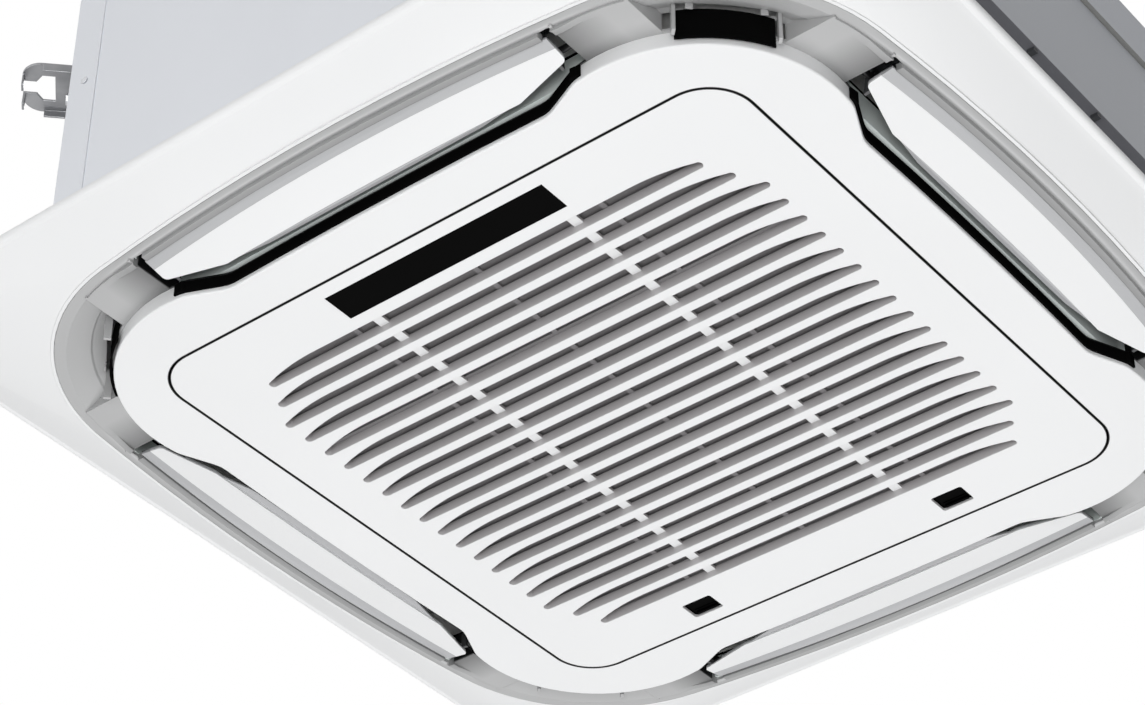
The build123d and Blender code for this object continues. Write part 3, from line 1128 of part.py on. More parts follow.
save(control_box_cover.part, "control_box_cover")
with BuildPart() as terminal_block:
    with Locations((TERMINAL_AT, BOX_Y, BOX_ROOF)):
        Box(*TERMINALS, align=HANGING)
    with Locations(*[(TERMINAL_AT + TERMINAL_PITCH * step, BOX_Y, BOX_ROOF - TERMINALS[2])
                     for step in range(-2, 3)]):
        Box(10, 12, 3, align=RISING, mode=Mode.SUBTRACT)
save(terminal_block.part, "terminal_block")
with BuildPart() as circuit_board:
    with Locations((MAIN_BOARD_AT, BOX_Y, BOX_ROOF - STANDOFF)):
        Box(*MAIN_BOARD, align=HANGING)
    with Locations(*[(MAIN_BOARD_AT + hand * 80, BOX_Y, BOX_ROOF - STANDOFF) for hand in (-1, 1)]):
        Box(8, 8, STANDOFF, align=RISING)
    with Locations(*[(along, BOX_Y + across, BOX_ROOF - STANDOFF - MAIN_BOARD[2])
                     for along, across in CAPACITORS]):
        Cylinder(6, 14, align=HANGING)
save(circuit_board.part, "circuit_board")

# ---------------------------------------------------------------- drain pump, float switch and drain
PUMP_AT = (-298.0, 298.0)
PUMP_R = 24.0
PUMP_CUP = 44.0             # height of the impeller's cup
PUMP_TOP = 105.0
IMPELLER_R = 12.0
PUMP_FOOT = TROUGH_Z + 3
PUMP_ARM = LINER_OUT - LINER_WALL - PUMP_AT[1]
PUMP_ARM_WIDTH = 16.0
PUMP_SHAFT_R = 1.5
IMPELLER = 18.0             # height of the impeller
FLOAT_STEM_R = 2.0
FLOAT_STOP_R = 4.0
FLOAT_R = 7.0
FLOAT = 14.0                # height of the float
FLOAT_LOW = 6.0             # foot of the float's stem above the trough, and its upper stop
FLOAT_HIGH = 32.0
FLOAT_AT = (-272.0, 272.0)
HOSE_X = -360.0
HOSE_R = 8.0
HOSE_Z = PAN_TOP + HOSE_R + 1
HOSE_BORE = 6.0
with BuildPart() as drain_pump:
    with Locations((*PUMP_AT, PUMP_FOOT)):
        Cylinder(IMPELLER_R + 2 + WALL, PUMP_CUP, align=RISING)
        Cylinder(IMPELLER_R + 2, PUMP_CUP - 2 * WALL, align=RISING,
                 mode=Mode.SUBTRACT)
    with Locations((*PUMP_AT, PUMP_FOOT + PUMP_CUP)):
        Cylinder(PUMP_R, PUMP_TOP - PUMP_FOOT - PUMP_CUP, align=RISING)
        Cylinder(PUMP_SHAFT_R, PUMP_CUP - 4, align=HANGING)
    with Locations((*PUMP_AT, PUMP_TOP)):
        Box(PUMP_ARM_WIDTH, PUMP_ARM, WALL, align=(Align.CENTER, Align.MIN, Align.MIN))
    with Locations((PUMP_AT[0], PUMP_AT[1] + PUMP_ARM, PUMP_TOP + WALL)):
        Box(PUMP_ARM_WIDTH, WALL, 20, align=(Align.CENTER, Align.MAX, Align.MAX))
    with Locations(Location((PUMP_AT[0] - IMPELLER_R - 4, PUMP_AT[1], HOSE_Z), (0, -90, 0))):
        Cylinder(HOSE_BORE - RUN, 18, align=RISING)
save(drain_pump.part, "drain_pump")
with BuildPart() as pump_impeller:
    with Locations((*PUMP_AT, PUMP_FOOT + 4)):
        Cylinder(PUMP_SHAFT_R + 2, IMPELLER, align=RISING)
        Box(2 * IMPELLER_R, 1.6, IMPELLER, align=RISING)
        Box(1.6, 2 * IMPELLER_R, IMPELLER, align=RISING)
        Cylinder(PUMP_SHAFT_R + RUN, IMPELLER, align=RISING, mode=Mode.SUBTRACT)
save(pump_impeller.part, "pump_impeller")
with BuildPart() as float_switch:
    with Locations((*FLOAT_AT, TROUGH_Z + FLOAT_LOW)):
        Cylinder(FLOAT_STEM_R, PUMP_TOP + WALL - TROUGH_Z - FLOAT_LOW, align=RISING)
        Cylinder(FLOAT_STOP_R, 2, align=HANGING)
    with Locations((*FLOAT_AT, TROUGH_Z + FLOAT_HIGH)):
        Cylinder(FLOAT_STOP_R, 2, align=RISING)
    with Locations(Location(((PUMP_AT[0] + FLOAT_AT[0]) / 2, (PUMP_AT[1] + FLOAT_AT[1]) / 2,
                             PUMP_TOP + WALL), (0, 0, 135))):
        Box(56, 12, 2, align=RISING)
save(float_switch.part, "float_switch")
with BuildPart() as float_ring:
    with Locations((*FLOAT_AT, TROUGH_Z + FLOAT_LOW + 0.2)):
        Cylinder(FLOAT_R, FLOAT, align=RISING)
        Cylinder(FLOAT_STEM_R + RUN, FLOAT, align=RISING, mode=Mode.SUBTRACT)
save(float_ring.part, "float_ring")
with BuildPart() as drain_hose:
    with BuildLine() as hose_line:
        FilletPolyline((PUMP_AT[0] - IMPELLER_R - 6, PUMP_AT[1], HOSE_Z),
                       (HOSE_X, PUMP_AT[1], HOSE_Z),
                       (HOSE_X, PUMP_AT[1], DRAIN_AT[1]),
                       (HOSE_X, DRAIN_AT[0], DRAIN_AT[1]),
                       (-LINER_OUT + LINER_WALL, DRAIN_AT[0], DRAIN_AT[1]), radius=20)
    with BuildSketch(Plane(origin=hose_line.line @ 0, z_dir=hose_line.line % 0)):
        RegularPolygon(HOSE_R, TUBE_FLATS, major_radius=False)
        RegularPolygon(HOSE_BORE, TUBE_FLATS, major_radius=False, mode=Mode.SUBTRACT)
    sweep(path=hose_line.line)
save(drain_hose.part, "drain_hose")
DRAIN_OUT = 465.0
DRAIN_LONG = DRAIN_OUT - LINER_OUT + LINER_WALL
DRAIN_NIPPLE = 14.0         # nipple inside the body, under the hose
with BuildPart() as drain_outlet:
    with Locations(Location((-DRAIN_OUT, DRAIN_AT[0], DRAIN_AT[1]), (0, 90, 0))):
        Cylinder(DRAIN_R, DRAIN_LONG, align=RISING)
        Cylinder(HOSE_BORE - RUN, DRAIN_LONG + DRAIN_NIPPLE, align=RISING)
    with Locations(Location((-PLATE_OUT, DRAIN_AT[0], DRAIN_AT[1]), (0, -90, 0))):
        Cylinder(DRAIN_R + 2 * WALL, WALL, align=RISING)
    with Locations(Location((-DRAIN_OUT, DRAIN_AT[0], DRAIN_AT[1]), (0, 90, 0))):
        Cylinder(DRAIN_R - WALL, DRAIN_LONG - WALL, align=RISING,
                 mode=Mode.SUBTRACT)
        Cylinder(HOSE_BORE - WALL / 2, DRAIN_LONG + DRAIN_NIPPLE, align=RISING,
                 mode=Mode.SUBTRACT)
save(drain_outlet.part, "drain_outlet")

# ---------------------------------------------------------------- refrigerant stubs and cable entry
STUB_FREE = 20.0            # bare end of each stub, past its bead
BEAD = 2.0
PIPE_WALL = 1.2
PIPE_PLATE = (110.0, 56.0, 1.5)
NUT_FLATS = (16.5, 11.0)    # flare nuts' radii over their corners, gas and liquid
NUT_LONG = 16.0
with BuildPart() as refrigerant_pipes:
    for (along, height), radius in ((GAS_AT, GAS_R), (LIQUID_AT, LIQUID_R)):
        with Locations(Location((-COIL_OUT, along, height), (0, -90, 0))):
            Cylinder(radius, STUB_OUT - COIL_OUT, align=RISING)
        with Locations(Location((-STUB_OUT + STUB_FREE, along, height), (0, 90, 0))):
            Cylinder(radius + PIPE_WALL, BEAD, align=RISING)
        with Locations(Location((-STUB_OUT, along, height), (0, 90, 0))):
            Cylinder(radius - PIPE_WALL, STUB_OUT - COIL_OUT, align=RISING,
                     mode=Mode.SUBTRACT)
save(refrigerant_pipes.part, "refrigerant_pipes")
with BuildPart() as pipe_plate:
    with BuildSketch(Plane.YZ.offset(-PLATE_OUT)):
        with Locations(((GAS_AT[0] + LIQUID_AT[0]) / 2, GAS_AT[1])):
            Rectangle(PIPE_PLATE[0], PIPE_PLATE[1])
        with Locations(GAS_AT):
            Circle(GAS_R + RUN, mode=Mode.SUBTRACT)
        with Locations(LIQUID_AT):
            Circle(LIQUID_R + RUN, mode=Mode.SUBTRACT)
    extrude(amount=-PIPE_PLATE[2])
save(pipe_plate.part, "pipe_plate")
with BuildPart() as flare_nuts:
    for (along, height), radius, flats in ((GAS_AT, GAS_R, NUT_FLATS[0]),
                                           (LIQUID_AT, LIQUID_R, NUT_FLATS[1])):
        with BuildSketch(Plane.YZ.offset(-STUB_OUT + STUB_FREE + BEAD)):
            with Locations((along, height)):
                RegularPolygon(flats, 6)
                Circle(radius + RUN, mode=Mode.SUBTRACT)
        extrude(amount=NUT_LONG)
save(flare_nuts.part, "flare_nuts")
GLAND_R = 15.0
GLAND_BORE = 8.0
with BuildPart() as cable_gland:
    with Locations(Location((-PLATE_OUT, GLAND_AT[0], GLAND_AT[1]), (0, -90, 0))):
        Cylinder(GLAND_R, WALL, align=RISING)
        Cylinder(GLAND_HOLE - 0.1, LINER_WALL, align=HANGING)
        Cylinder(GLAND_BORE, 2 * LINER_WALL, mode=Mode.SUBTRACT)
save(cable_gland.part, "cable_gland")
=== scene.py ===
"""Looks for a ceiling cassette air conditioner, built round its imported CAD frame.

The panel hangs face down: the camera looks up at the intake grille, the four air outlets and two
sides of the steel body. Sizes are in metres, in the CAD's own frame.
"""

from __future__ import annotations

import json
import logging
from dataclasses import dataclass
from enum import Enum
from typing import Callable, NamedTuple

import bpy
import numpy as np
from mathutils import Matrix, Vector

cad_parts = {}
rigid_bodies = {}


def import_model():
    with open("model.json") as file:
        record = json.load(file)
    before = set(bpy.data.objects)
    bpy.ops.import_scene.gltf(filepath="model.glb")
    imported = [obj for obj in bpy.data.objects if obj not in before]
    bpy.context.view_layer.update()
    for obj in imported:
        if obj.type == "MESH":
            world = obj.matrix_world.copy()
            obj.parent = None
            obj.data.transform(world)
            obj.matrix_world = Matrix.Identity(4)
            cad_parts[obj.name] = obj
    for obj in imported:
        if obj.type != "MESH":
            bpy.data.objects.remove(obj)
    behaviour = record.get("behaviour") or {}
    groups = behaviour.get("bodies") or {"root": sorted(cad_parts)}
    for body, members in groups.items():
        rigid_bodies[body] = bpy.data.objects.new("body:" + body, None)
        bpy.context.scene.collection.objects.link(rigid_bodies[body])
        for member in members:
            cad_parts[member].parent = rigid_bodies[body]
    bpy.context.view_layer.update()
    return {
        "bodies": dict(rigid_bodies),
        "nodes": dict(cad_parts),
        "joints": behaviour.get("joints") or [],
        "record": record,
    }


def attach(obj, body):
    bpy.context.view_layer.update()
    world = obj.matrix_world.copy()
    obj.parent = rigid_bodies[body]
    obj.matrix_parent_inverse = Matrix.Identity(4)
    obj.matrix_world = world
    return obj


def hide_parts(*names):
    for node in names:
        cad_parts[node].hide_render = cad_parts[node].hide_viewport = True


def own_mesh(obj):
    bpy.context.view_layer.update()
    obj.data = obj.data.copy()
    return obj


LOG = logging.getLogger("cassette")
SIDES: tuple[str, ...] = ("wiring", "latch", "piping", "display")
TURN = 2 * np.pi

Colour = tuple[float, float, float]
Point = tuple[float, float, float]
Socket = bpy.types.NodeSocket


class Fade(NamedTuple):
    """Where a mask begins, and where it is complete."""

    start: float
    full: float


# Values of a noise, a sine or a normal's height at which something shows.
SECOND_TONE = Fade(0.3, 0.7)        # slow noise: the second colour
RUBBED_SPOTS = Fade(0.35, 0.6)      # slow noise: rubbed lengths of an edge
THREADS = Fade(0.2, 0.9)            # sine across the net: a thread
FIN_EDGES = Fade(-0.4, 0.8)         # sine across the fins: an edge
UPRIGHT = Fade(0.9, 0.5)            # height of the normal: an upright wall

# The grille's seam is a rounded square. Its fades are distances from that line.
# These distances place the seam's painted shade.
SEAM_HALF = 0.302
SEAM_RADIUS = 0.043
SEAM_ON_WALLS = Fade(0.0022, 0.0014)
SEAM_ON_ALL = Fade(0.0018, 0.0012)

# Outlets and louvers bend along a bow: the fades are reach across a side and distance along it.
# They place the painted shade inside the outlets and on the louver shells' inner ends, and the
# painted highlight and shade of the band beside the outlets.
BOW = 1.7526
OUTLET_AREA = (Fade(0.4122, 0.4108), Fade(0.2262, 0.2242))
SHELL_END_AREA = (Fade(0.385, 0.383), Fade(0.186, 0.188))
BAND_ALONG = Fade(0.262, 0.222)

# Heights on the panel and on the case, where painted shade begins and where it is complete.
SLOT_LIP = Fade(-0.0449, -0.0436)
SLOT_DEPTH = Fade(-0.0436, -0.0355)
SEAM_DEPTH = Fade(-0.0449, -0.0443)
OUTLET_DEPTH = Fade(-0.0292, -0.0284)
SHELL_TOP = Fade(-0.0292, -0.0276)
SHELL_WHOLE = Fade(-0.06, -0.05)
COVER_UNDERSIDE = Fade(0.1112, 0.1102)
HOOD_UNDERSIDE = Fade(0.2366, 0.2376)
HOOD_FRONT = Fade(0.2384, 0.2392)

GAP_SHARE = 0.45                    # brightness between threads or fins, of the second colour
RELIEF_STRENGTH = 0.6
SMOOTHEST, ROUGHEST = 0.02, 1.0
READY_STOPS = 2                     # stops that a new colour ramp already has


def add_object(name: str, data: bpy.types.ID) -> bpy.types.Object:
    """Add an object to the scene.

    Args:
        name: the object's name.
        data: its mesh, camera or light.

    Returns:
        The new object.
    """
    made = bpy.data.objects.new(name, data)
    bpy.context.scene.collection.objects.link(made)
    return made


# ------------------------------------------------------------------ shader node groups
class NodeTree:
    """A thin writer for one node tree, which keeps the finishes short."""

    def __init__(self, tree: bpy.types.NodeTree) -> None:
        """Wrap a material's, a world's or a group's node tree."""
        self.tree = tree

    def add(self, kind: str, **values: object) -> bpy.types.Node:
        """Add a node and set its properties.

        Args:
            kind: Blender's node type name.
            values: attributes of the node to set.

        Returns:
            The new node.
        """
        node = self.tree.nodes.new(kind)
        for key, value in values.items():
            setattr(node, key, value)
        return node

    def link(self, source: Socket, target: Socket) -> None:
        """Join two sockets."""
        self.tree.links.new(source, target)

    def feed(self, target: Socket, value: Socket | float) -> None:
        """Link a socket to an input, or write a number into it.

        Args:
            target: the input.
            value: the socket or number it gets.
        """
        if isinstance(value, (int, float)):
            target.default_value = value
        else:
            self.link(value, target)

    def given(self, label: str) -> Socket:
        """Return what comes into a group under this label."""
        return self.tree.nodes["in"].outputs[label]

    def put(self, label: str, value: Socket) -> None:
        """Send a value out of a group under this label."""
        self.link(value, self.tree.nodes["out"].inputs[label])

    def axes(self, output: str) -> bpy.types.NodeOutputs:
        """Split a Texture Coordinate output along the axes.

        Args:
            output: "Object" or "Normal".

        Returns:
            The outputs named X, Y and Z.
        """
        split = self.add("ShaderNodeSeparateXYZ")
        self.link(self.add("ShaderNodeTexCoord").outputs[output], split.inputs[0])
        return split.outputs

    def math(self, operation: str, first: Socket | float, second: Socket | float = 0.0) -> Socket:
        """Add one Math node.

        Args:
            operation: Blender's name of the operation.
            first: first operand.
            second: second operand, left alone by one-input operations.

        Returns:
            The result's socket.
        """
        node = self.add("ShaderNodeMath", operation=operation)
        self.feed(node.inputs[0], first)
        self.feed(node.inputs[1], second)
        return node.outputs[0]

    def ramp(self, value: Socket, start: Socket | float, full: Socket | float, low: float = 0.0,
             high: float = 1.0) -> Socket:
        """Map a value from one range to another, held at both ends.

        Args:
            value: what is mapped.
            start: value that gives `low`.
            full: value that gives `high`.
            low: result at the start.
            high: result at the end.

        Returns:
            The result's socket.
        """
        node = self.add("ShaderNodeMapRange", clamp=True)
        self.link(value, node.inputs["Value"])
        self.feed(node.inputs["From Min"], start)
        self.feed(node.inputs["From Max"], full)
        self.feed(node.inputs["To Min"], low)
        self.feed(node.inputs["To Max"], high)
        return node.outputs["Result"]

    def mix(self, mask: Socket, under: Socket | Colour, over: Socket | Colour) -> Socket:
        """Lay one colour over another through a mask.

        Args:
            mask: 0 keeps the lower colour, 1 shows the upper.
            under: lower colour.
            over: upper colour.

        Returns:
            The mixed colour's socket.
        """
        node = self.add("ShaderNodeMix", data_type="RGBA")
        self.link(mask, node.inputs["Factor"])
        for name, colour in (("A", under), ("B", over)):
            if isinstance(colour, tuple):
                node.inputs[name].default_value = (*colour, 1.0)
            else:
                self.link(colour, node.inputs[name])
        return node.outputs["Result"]

    def layer(self, mask: Socket, under: Socket, over: Socket) -> Socket:
        """Lay one shader over another through a mask.

        Args:
            mask: 0 keeps the lower shader, 1 shows the upper.
            under: lower shader.
            over: upper shader.

        Returns:
            The mixed shader's socket.
        """
        node = self.add("ShaderNodeMixShader")
        for spot, source in enumerate((mask, under, over)):
            self.link(source, node.inputs[spot])
        return node.outputs[0]

    def use(self, builder: Callable[[], bpy.types.NodeTree], **values: float) -> bpy.types.Node:
        """Place a shared group and set its inputs.

        Args:
            builder: the function that builds the group, once.
            values: input values, with "_" for each space in a name.

        Returns:
            The group's node.
        """
        group = bpy.data.node_groups.get(builder.__name__) or builder()
        node = self.add("ShaderNodeGroup", node_tree=group)
        for label, value in values.items():
            node.inputs[label.replace("_", " ")].default_value = value
        return node


def new_group(name: str, inputs: dict[str, float], outputs: dict[str, str]) -> NodeTree:
    """Make an empty shader group with its sockets.

    Args:
        name: the group's name.
        inputs: default of each number that goes in.
        outputs: kind of each output, "Float" or "Vector".

    Returns:
        The group's tree, with nodes named "in" and "out".
    """
    group = bpy.data.node_groups.new(name, "ShaderNodeTree")
    for label, default in inputs.items():
        socket = group.interface.new_socket(
            name=label, in_out="INPUT", socket_type="NodeSocketFloat")
        socket.default_value = default
    for label, kind in outputs.items():
        group.interface.new_socket(name=label, in_out="OUTPUT", socket_type=f"NodeSocket{kind}")
    tree = NodeTree(group)
    tree.add("NodeGroupInput", name="in")
    tree.add("NodeGroupOutput", name="out")
    return tree


def mottle() -> bpy.types.NodeTree:
    """Slow and fine mottling: two noises on Object coordinates.

    Returns:
        A group that puts out a slow mask and a fine mask, each 0 to 1.
    """
    tree = new_group("mottle", {"Slow Scale": 4.0, "Fine Scale": 900.0},
                     {"Slow": "Float", "Fine": "Float"})
    place = tree.add("ShaderNodeTexCoord")
    for label in ("Slow", "Fine"):
        noise = tree.add("ShaderNodeTexNoise")
        noise.inputs["Detail"].default_value = 2.0
        tree.link(place.outputs["Object"], noise.inputs["Vector"])
        tree.link(tree.given(f"{label} Scale"), noise.inputs["Scale"])
        tree.put(label, noise.outputs["Fac"])
    return tree.tree


def stripes(tree: NodeTree, along: Socket, pitch: Socket) -> Socket:
    """Sine of the distance along an axis, `pitch` periods a metre."""
    return tree.math("SINE", tree.math("MULTIPLY", tree.math("MULTIPLY", along, pitch), TURN))


def net() -> bpy.types.NodeTree:
    """Square net: the larger of two sine bands across X and Y, kept where it is high.

    Returns:
        A group with a pitch input in threads a metre and a thread mask output.
    """
    tree = new_group("net", {"Pitch": 800.0}, {"Mask": "Float"})
    place = tree.axes("Object")
    waves = [stripes(tree, place[axis], tree.given("Pitch")) for axis in ("X", "Y")]
    tree.put("Mask", tree.ramp(tree.math("MAXIMUM", *waves), *THREADS))
    return tree.tree


def fins() -> bpy.types.NodeTree:
    """Fin edges: a sine band along Y on walls that face X, and along X on the others.

    Returns:
        A group with a fins-a-metre input and an edge mask output.
    """
    tree = new_group("fins", {"Pitch": 620.0}, {"Mask": "Float"})
    place = tree.axes("Object")
    facing = tree.axes("Normal")
    pick = tree.add("ShaderNodeMix", data_type="FLOAT")
    tree.link(tree.math("ABSOLUTE", facing["X"]), pick.inputs["Factor"])
    tree.link(place["X"], pick.inputs["A"])
    tree.link(place["Y"], pick.inputs["B"])
    wave = stripes(tree, pick.outputs["Result"], tree.given("Pitch"))
    tree.put("Mask", tree.ramp(wave, *FIN_EDGES))
    return tree.tree


def soft_edges() -> bpy.types.NodeTree:
    """Rounded moulded edges: the normal is averaged over a small radius.

    The edge mask is 1 less the dot product of that normal and the face's own, times the sharpness.

    Returns:
        A group that puts out the softened normal, and a mask that is 1 on the very edge.
    """
    tree = new_group("soft_edges", {"Radius": 0.0006, "Sharpness": 6.0},
                     {"Normal": "Vector", "Edge": "Float"})
    bevel = tree.add("ShaderNodeBevel", samples=4)
    tree.link(tree.given("Radius"), bevel.inputs["Radius"])
    facing = tree.add("ShaderNodeVectorMath", operation="DOT_PRODUCT")
    tree.link(bevel.outputs["Normal"], facing.inputs[0])
    tree.link(tree.add("ShaderNodeNewGeometry").outputs["Normal"], facing.inputs[1])
    turned = tree.math("SUBTRACT", 1.0, facing.outputs["Value"])
    scaled = tree.math("MULTIPLY", turned, tree.given("Sharpness"))
    tree.put("Edge", tree.math("MINIMUM", scaled, 1.0))
    tree.put("Normal", bevel.outputs["Normal"])
    return tree.tree


def height_band() -> bpy.types.NodeTree:
    """Heights and wall directions: a ramp from one height to another.

    Returns:
        A group with a mask that grows from Start to Full, and one that keeps it to upright walls.
    """
    tree = new_group("height_band", {"Start": -0.045, "Full": -0.035},
                     {"All": "Float", "Walls": "Float"})
    mask = tree.ramp(tree.axes("Object")["Z"], tree.given("Start"), tree.given("Full"))
    upright = tree.ramp(tree.math("ABSOLUTE", tree.axes("Normal")["Z"]), *UPRIGHT)
    tree.put("All", mask)
    tree.put("Walls", tree.math("MULTIPLY", mask, upright))
    return tree.tree


def square_reach() -> bpy.types.NodeTree:
    """Distance past a rounded square.

    It is the length of what |x| and |y| have beyond the corner's centre, less the corner's radius.

    Returns:
        A group with the square's half size and corner radius, and the distance past its outline.
    """
    tree = new_group("square_reach", {"Half": SEAM_HALF, "Radius": SEAM_RADIUS},
                     {"Past": "Float"})
    place = tree.axes("Object")
    corner = tree.math("SUBTRACT", tree.given("Half"), tree.given("Radius"))
    squares = []
    for axis in ("X", "Y"):
        beyond = tree.math("SUBTRACT", tree.math("ABSOLUTE", place[axis]), corner)
        squares.append(tree.math("POWER", tree.math("MAXIMUM", beyond, 0.0), 2.0))
    length = tree.math("SQRT", tree.math("ADD", *squares))
    tree.put("Past", tree.math("SUBTRACT", length, tree.given("Radius")))
    return tree.tree


def bowed_reach() -> bpy.types.NodeTree:
    """Reach across the bowed outlet bands: distance from the bow's centre, less its offset.

    With a the larger and b the smaller of |x| and |y|, it is sqrt((a + bow)^2 + b^2) - bow.

    Returns:
        A group that puts out the reach, and the distance along the side.
    """
    tree = new_group("bowed_reach", {"Bow": BOW}, {"Reach": "Float", "Along": "Float"})
    place = tree.axes("Object")
    bow = tree.given("Bow")
    sizes = [tree.math("ABSOLUTE", place[axis]) for axis in ("X", "Y")]
    along = tree.math("MINIMUM", *sizes)
    out = tree.math("POWER", tree.math("ADD", tree.math("MAXIMUM", *sizes), bow), 2.0)
    radius = tree.math("SQRT", tree.math("ADD", out, tree.math("POWER", along, 2.0)))
    tree.put("Reach", tree.math("SUBTRACT", radius, bow))
    tree.put("Along", along)
    return tree.tree


# ------------------------------------------------------------------ finishes
class Pattern(Enum):
    """What a finish draws over its surface besides the mottle."""

    PLAIN = "plain"
    NET = "net"
    FINS = "fins"


class Zone(Enum):
    """Where a painted shade of a finish lies."""

    ALL = "all"             # on every surface of the height band
    WALLS = "walls"         # on upright walls only
    SEAM = "seam"           # along the grille's seam
    OUTLET = "outlet"       # inside the outlets
    ENDS = "ends"           # on the inner ends of a louver's shell


@dataclass(frozen=True)
class Shade:
    """A painted shade: a tone that takes over from one height to another.

    Attributes:
        colour: the tone, linear.
        heights: height where it begins, and where it is complete.
        zone: the surfaces it is kept to.
    """

    colour: Colour
    heights: Fade
    zone: Zone = Zone.ALL

    def mask(self, tree: NodeTree) -> Socket:
        """Build the tone's mask.

        Args:
            tree: the material's tree.

        Returns:
            The mask's socket.
        """
        band = tree.use(height_band, Start=self.heights.start, Full=self.heights.full)
        if self.zone is Zone.ALL:
            return band.outputs["All"]
        if self.zone is Zone.WALLS:
            return band.outputs["Walls"]
        if self.zone is Zone.SEAM:
            past = tree.use(square_reach, Half=SEAM_HALF, Radius=SEAM_RADIUS).outputs["Past"]
            gap = tree.math("ABSOLUTE", past)
            walls = tree.math("MULTIPLY", band.outputs["Walls"], tree.ramp(gap, *SEAM_ON_WALLS))
            return tree.math("MAXIMUM", walls, tree.ramp(gap, *SEAM_ON_ALL))
        reach, along = OUTLET_AREA if self.zone is Zone.OUTLET else SHELL_END_AREA
        bowed = tree.use(bowed_reach, Bow=BOW)
        across = tree.ramp(bowed.outputs["Reach"], *reach)
        within = tree.ramp(bowed.outputs["Along"], *along)
        return tree.math("MULTIPLY", band.outputs["All"], tree.math("MULTIPLY", across, within))


@dataclass(frozen=True)
class Finish:
    """One surface finish: a shader with slow colour variation and a fine relief.

    Attributes:
        name: name of the material.
        colour: main colour, linear.
        second: second colour of the slow variation, linear.
        roughness: middle roughness.
        spread: how far the fine mask moves the roughness each way.
        metallic: 0 or 1.
        relief: depth of the fine relief in metres.
        fine_scale: features a metre of the fine relief.
        slow_scale: features a metre of the slow variation.
        specular: specular level.
        coat: weight of a clear coat.
        pattern: net or fins drawn over it.
        pitch: pattern lines a metre.
        edge: radius of the softened edges, 0 for none.
        wear: colour of rubbed edges, if they show.
        shades: painted shades by height.
        profile: reach across the outlet band and brightness there: a painted highlight and painted
            shade on the band.
    """

    name: str
    colour: Colour
    second: Colour
    roughness: float
    spread: float = 0.05
    metallic: float = 0.0
    relief: float = 0.00002
    fine_scale: float = 900.0
    slow_scale: float = 5.0
    specular: float = 0.5
    coat: float = 0.0
    pattern: Pattern = Pattern.PLAIN
    pitch: float = 800.0
    edge: float = 0.0
    wear: Colour | None = None
    shades: tuple[Shade, ...] = ()
    profile: tuple[tuple[float, float], ...] = ()

    def material(self) -> bpy.types.Material:
        """Build the finish once and return it after that.

        Returns:
            The Blender material.
        """
        name = f"{self.name}_finish"
        known = bpy.data.materials.get(name)
        if known:
            return known
        made = bpy.data.materials.new(name)
        made.use_nodes = True
        tree = NodeTree(made.node_tree)
        shader = tree.tree.nodes["Principled BSDF"]
        shader.inputs["Metallic"].default_value = self.metallic
        shader.inputs["Specular IOR Level"].default_value = self.specular
        shader.inputs["Coat Weight"].default_value = self.coat
        spots = tree.use(mottle, Slow_Scale=self.slow_scale, Fine_Scale=self.fine_scale)
        slow, fine = spots.outputs["Slow"], spots.outputs["Fine"]
        colour = tree.mix(tree.ramp(slow, *SECOND_TONE), self.colour, self.second)
        height = fine
        if self.pattern is not Pattern.PLAIN:
            lines = tree.use(net if self.pattern is Pattern.NET else fins, Pitch=self.pitch)
            height = lines.outputs["Mask"]
            colour = tree.mix(height, tuple(GAP_SHARE * part for part in self.second), colour)
        bump = tree.add("ShaderNodeBump")
        if self.edge:
            rounded = tree.use(soft_edges, Radius=self.edge)
            tree.link(rounded.outputs["Normal"], bump.inputs["Normal"])
            if self.wear:
                worn = tree.ramp(slow, *RUBBED_SPOTS)
                rubbed = tree.math("MULTIPLY", rounded.outputs["Edge"], worn)
                colour = tree.mix(rubbed, colour, self.wear)
        if self.profile:
            colour = self._moulded_band(tree, colour)
        for shade in self.shades:
            colour = tree.mix(shade.mask(tree), colour, shade.colour)
        tree.link(colour, shader.inputs["Base Color"])
        smooth = max(self.roughness - self.spread, SMOOTHEST)
        rough = min(self.roughness + self.spread, ROUGHEST)
        if smooth < rough:
            tree.link(tree.ramp(fine, 0.0, 1.0, smooth, rough), shader.inputs["Roughness"])
        else:
            shader.inputs["Roughness"].default_value = rough
        bump.inputs["Distance"].default_value = self.relief
        bump.inputs["Strength"].default_value = RELIEF_STRENGTH
        tree.link(height, bump.inputs["Height"])
        tree.link(bump.outputs["Normal"], shader.inputs["Normal"])
        return made

    def _moulded_band(self, tree: NodeTree, colour: Socket) -> Socket:
        """Paint highlight and shade on the band beside the outlets by its reach, standing in for
        the light on its bead and the shade in its gaps.

        Args:
            tree: the material's tree.
            colour: socket of the colour so far.

        Returns:
            The new colour socket.
        """
        bowed = tree.use(bowed_reach, Bow=BOW)
        low, high = self.profile[0][0], self.profile[-1][0]
        steps = tree.add("ShaderNodeValToRGB")
        points = steps.color_ramp.elements
        for spot, (place, bright) in enumerate(self.profile):
            share = (place - low) / (high - low)
            point = points[spot] if spot < READY_STOPS else points.new(share)
            point.position = share
            point.color = (bright, bright, bright, 1.0)
        tree.link(tree.ramp(bowed.outputs["Reach"], low, high), steps.inputs["Fac"])
        dim = tree.add("ShaderNodeMix", data_type="RGBA", blend_type="MULTIPLY")
        tree.link(tree.ramp(bowed.outputs["Along"], *BAND_ALONG), dim.inputs["Factor"])
        tree.link(colour, dim.inputs["A"])
        tree.link(steps.outputs["Color"], dim.inputs["B"])
        return dim.outputs["Result"]

    def dress(self, piece: bpy.types.Object) -> None:
        """Put this finish on a whole piece."""
        piece.data.materials.clear()
        piece.data.materials.append(self.material())


BLACK: Colour = (0.004, 0.004, 0.0045)
WHITE: Colour = (0.845, 0.85, 0.853)
WHITE_SECOND: Colour = (0.825, 0.83, 0.833)

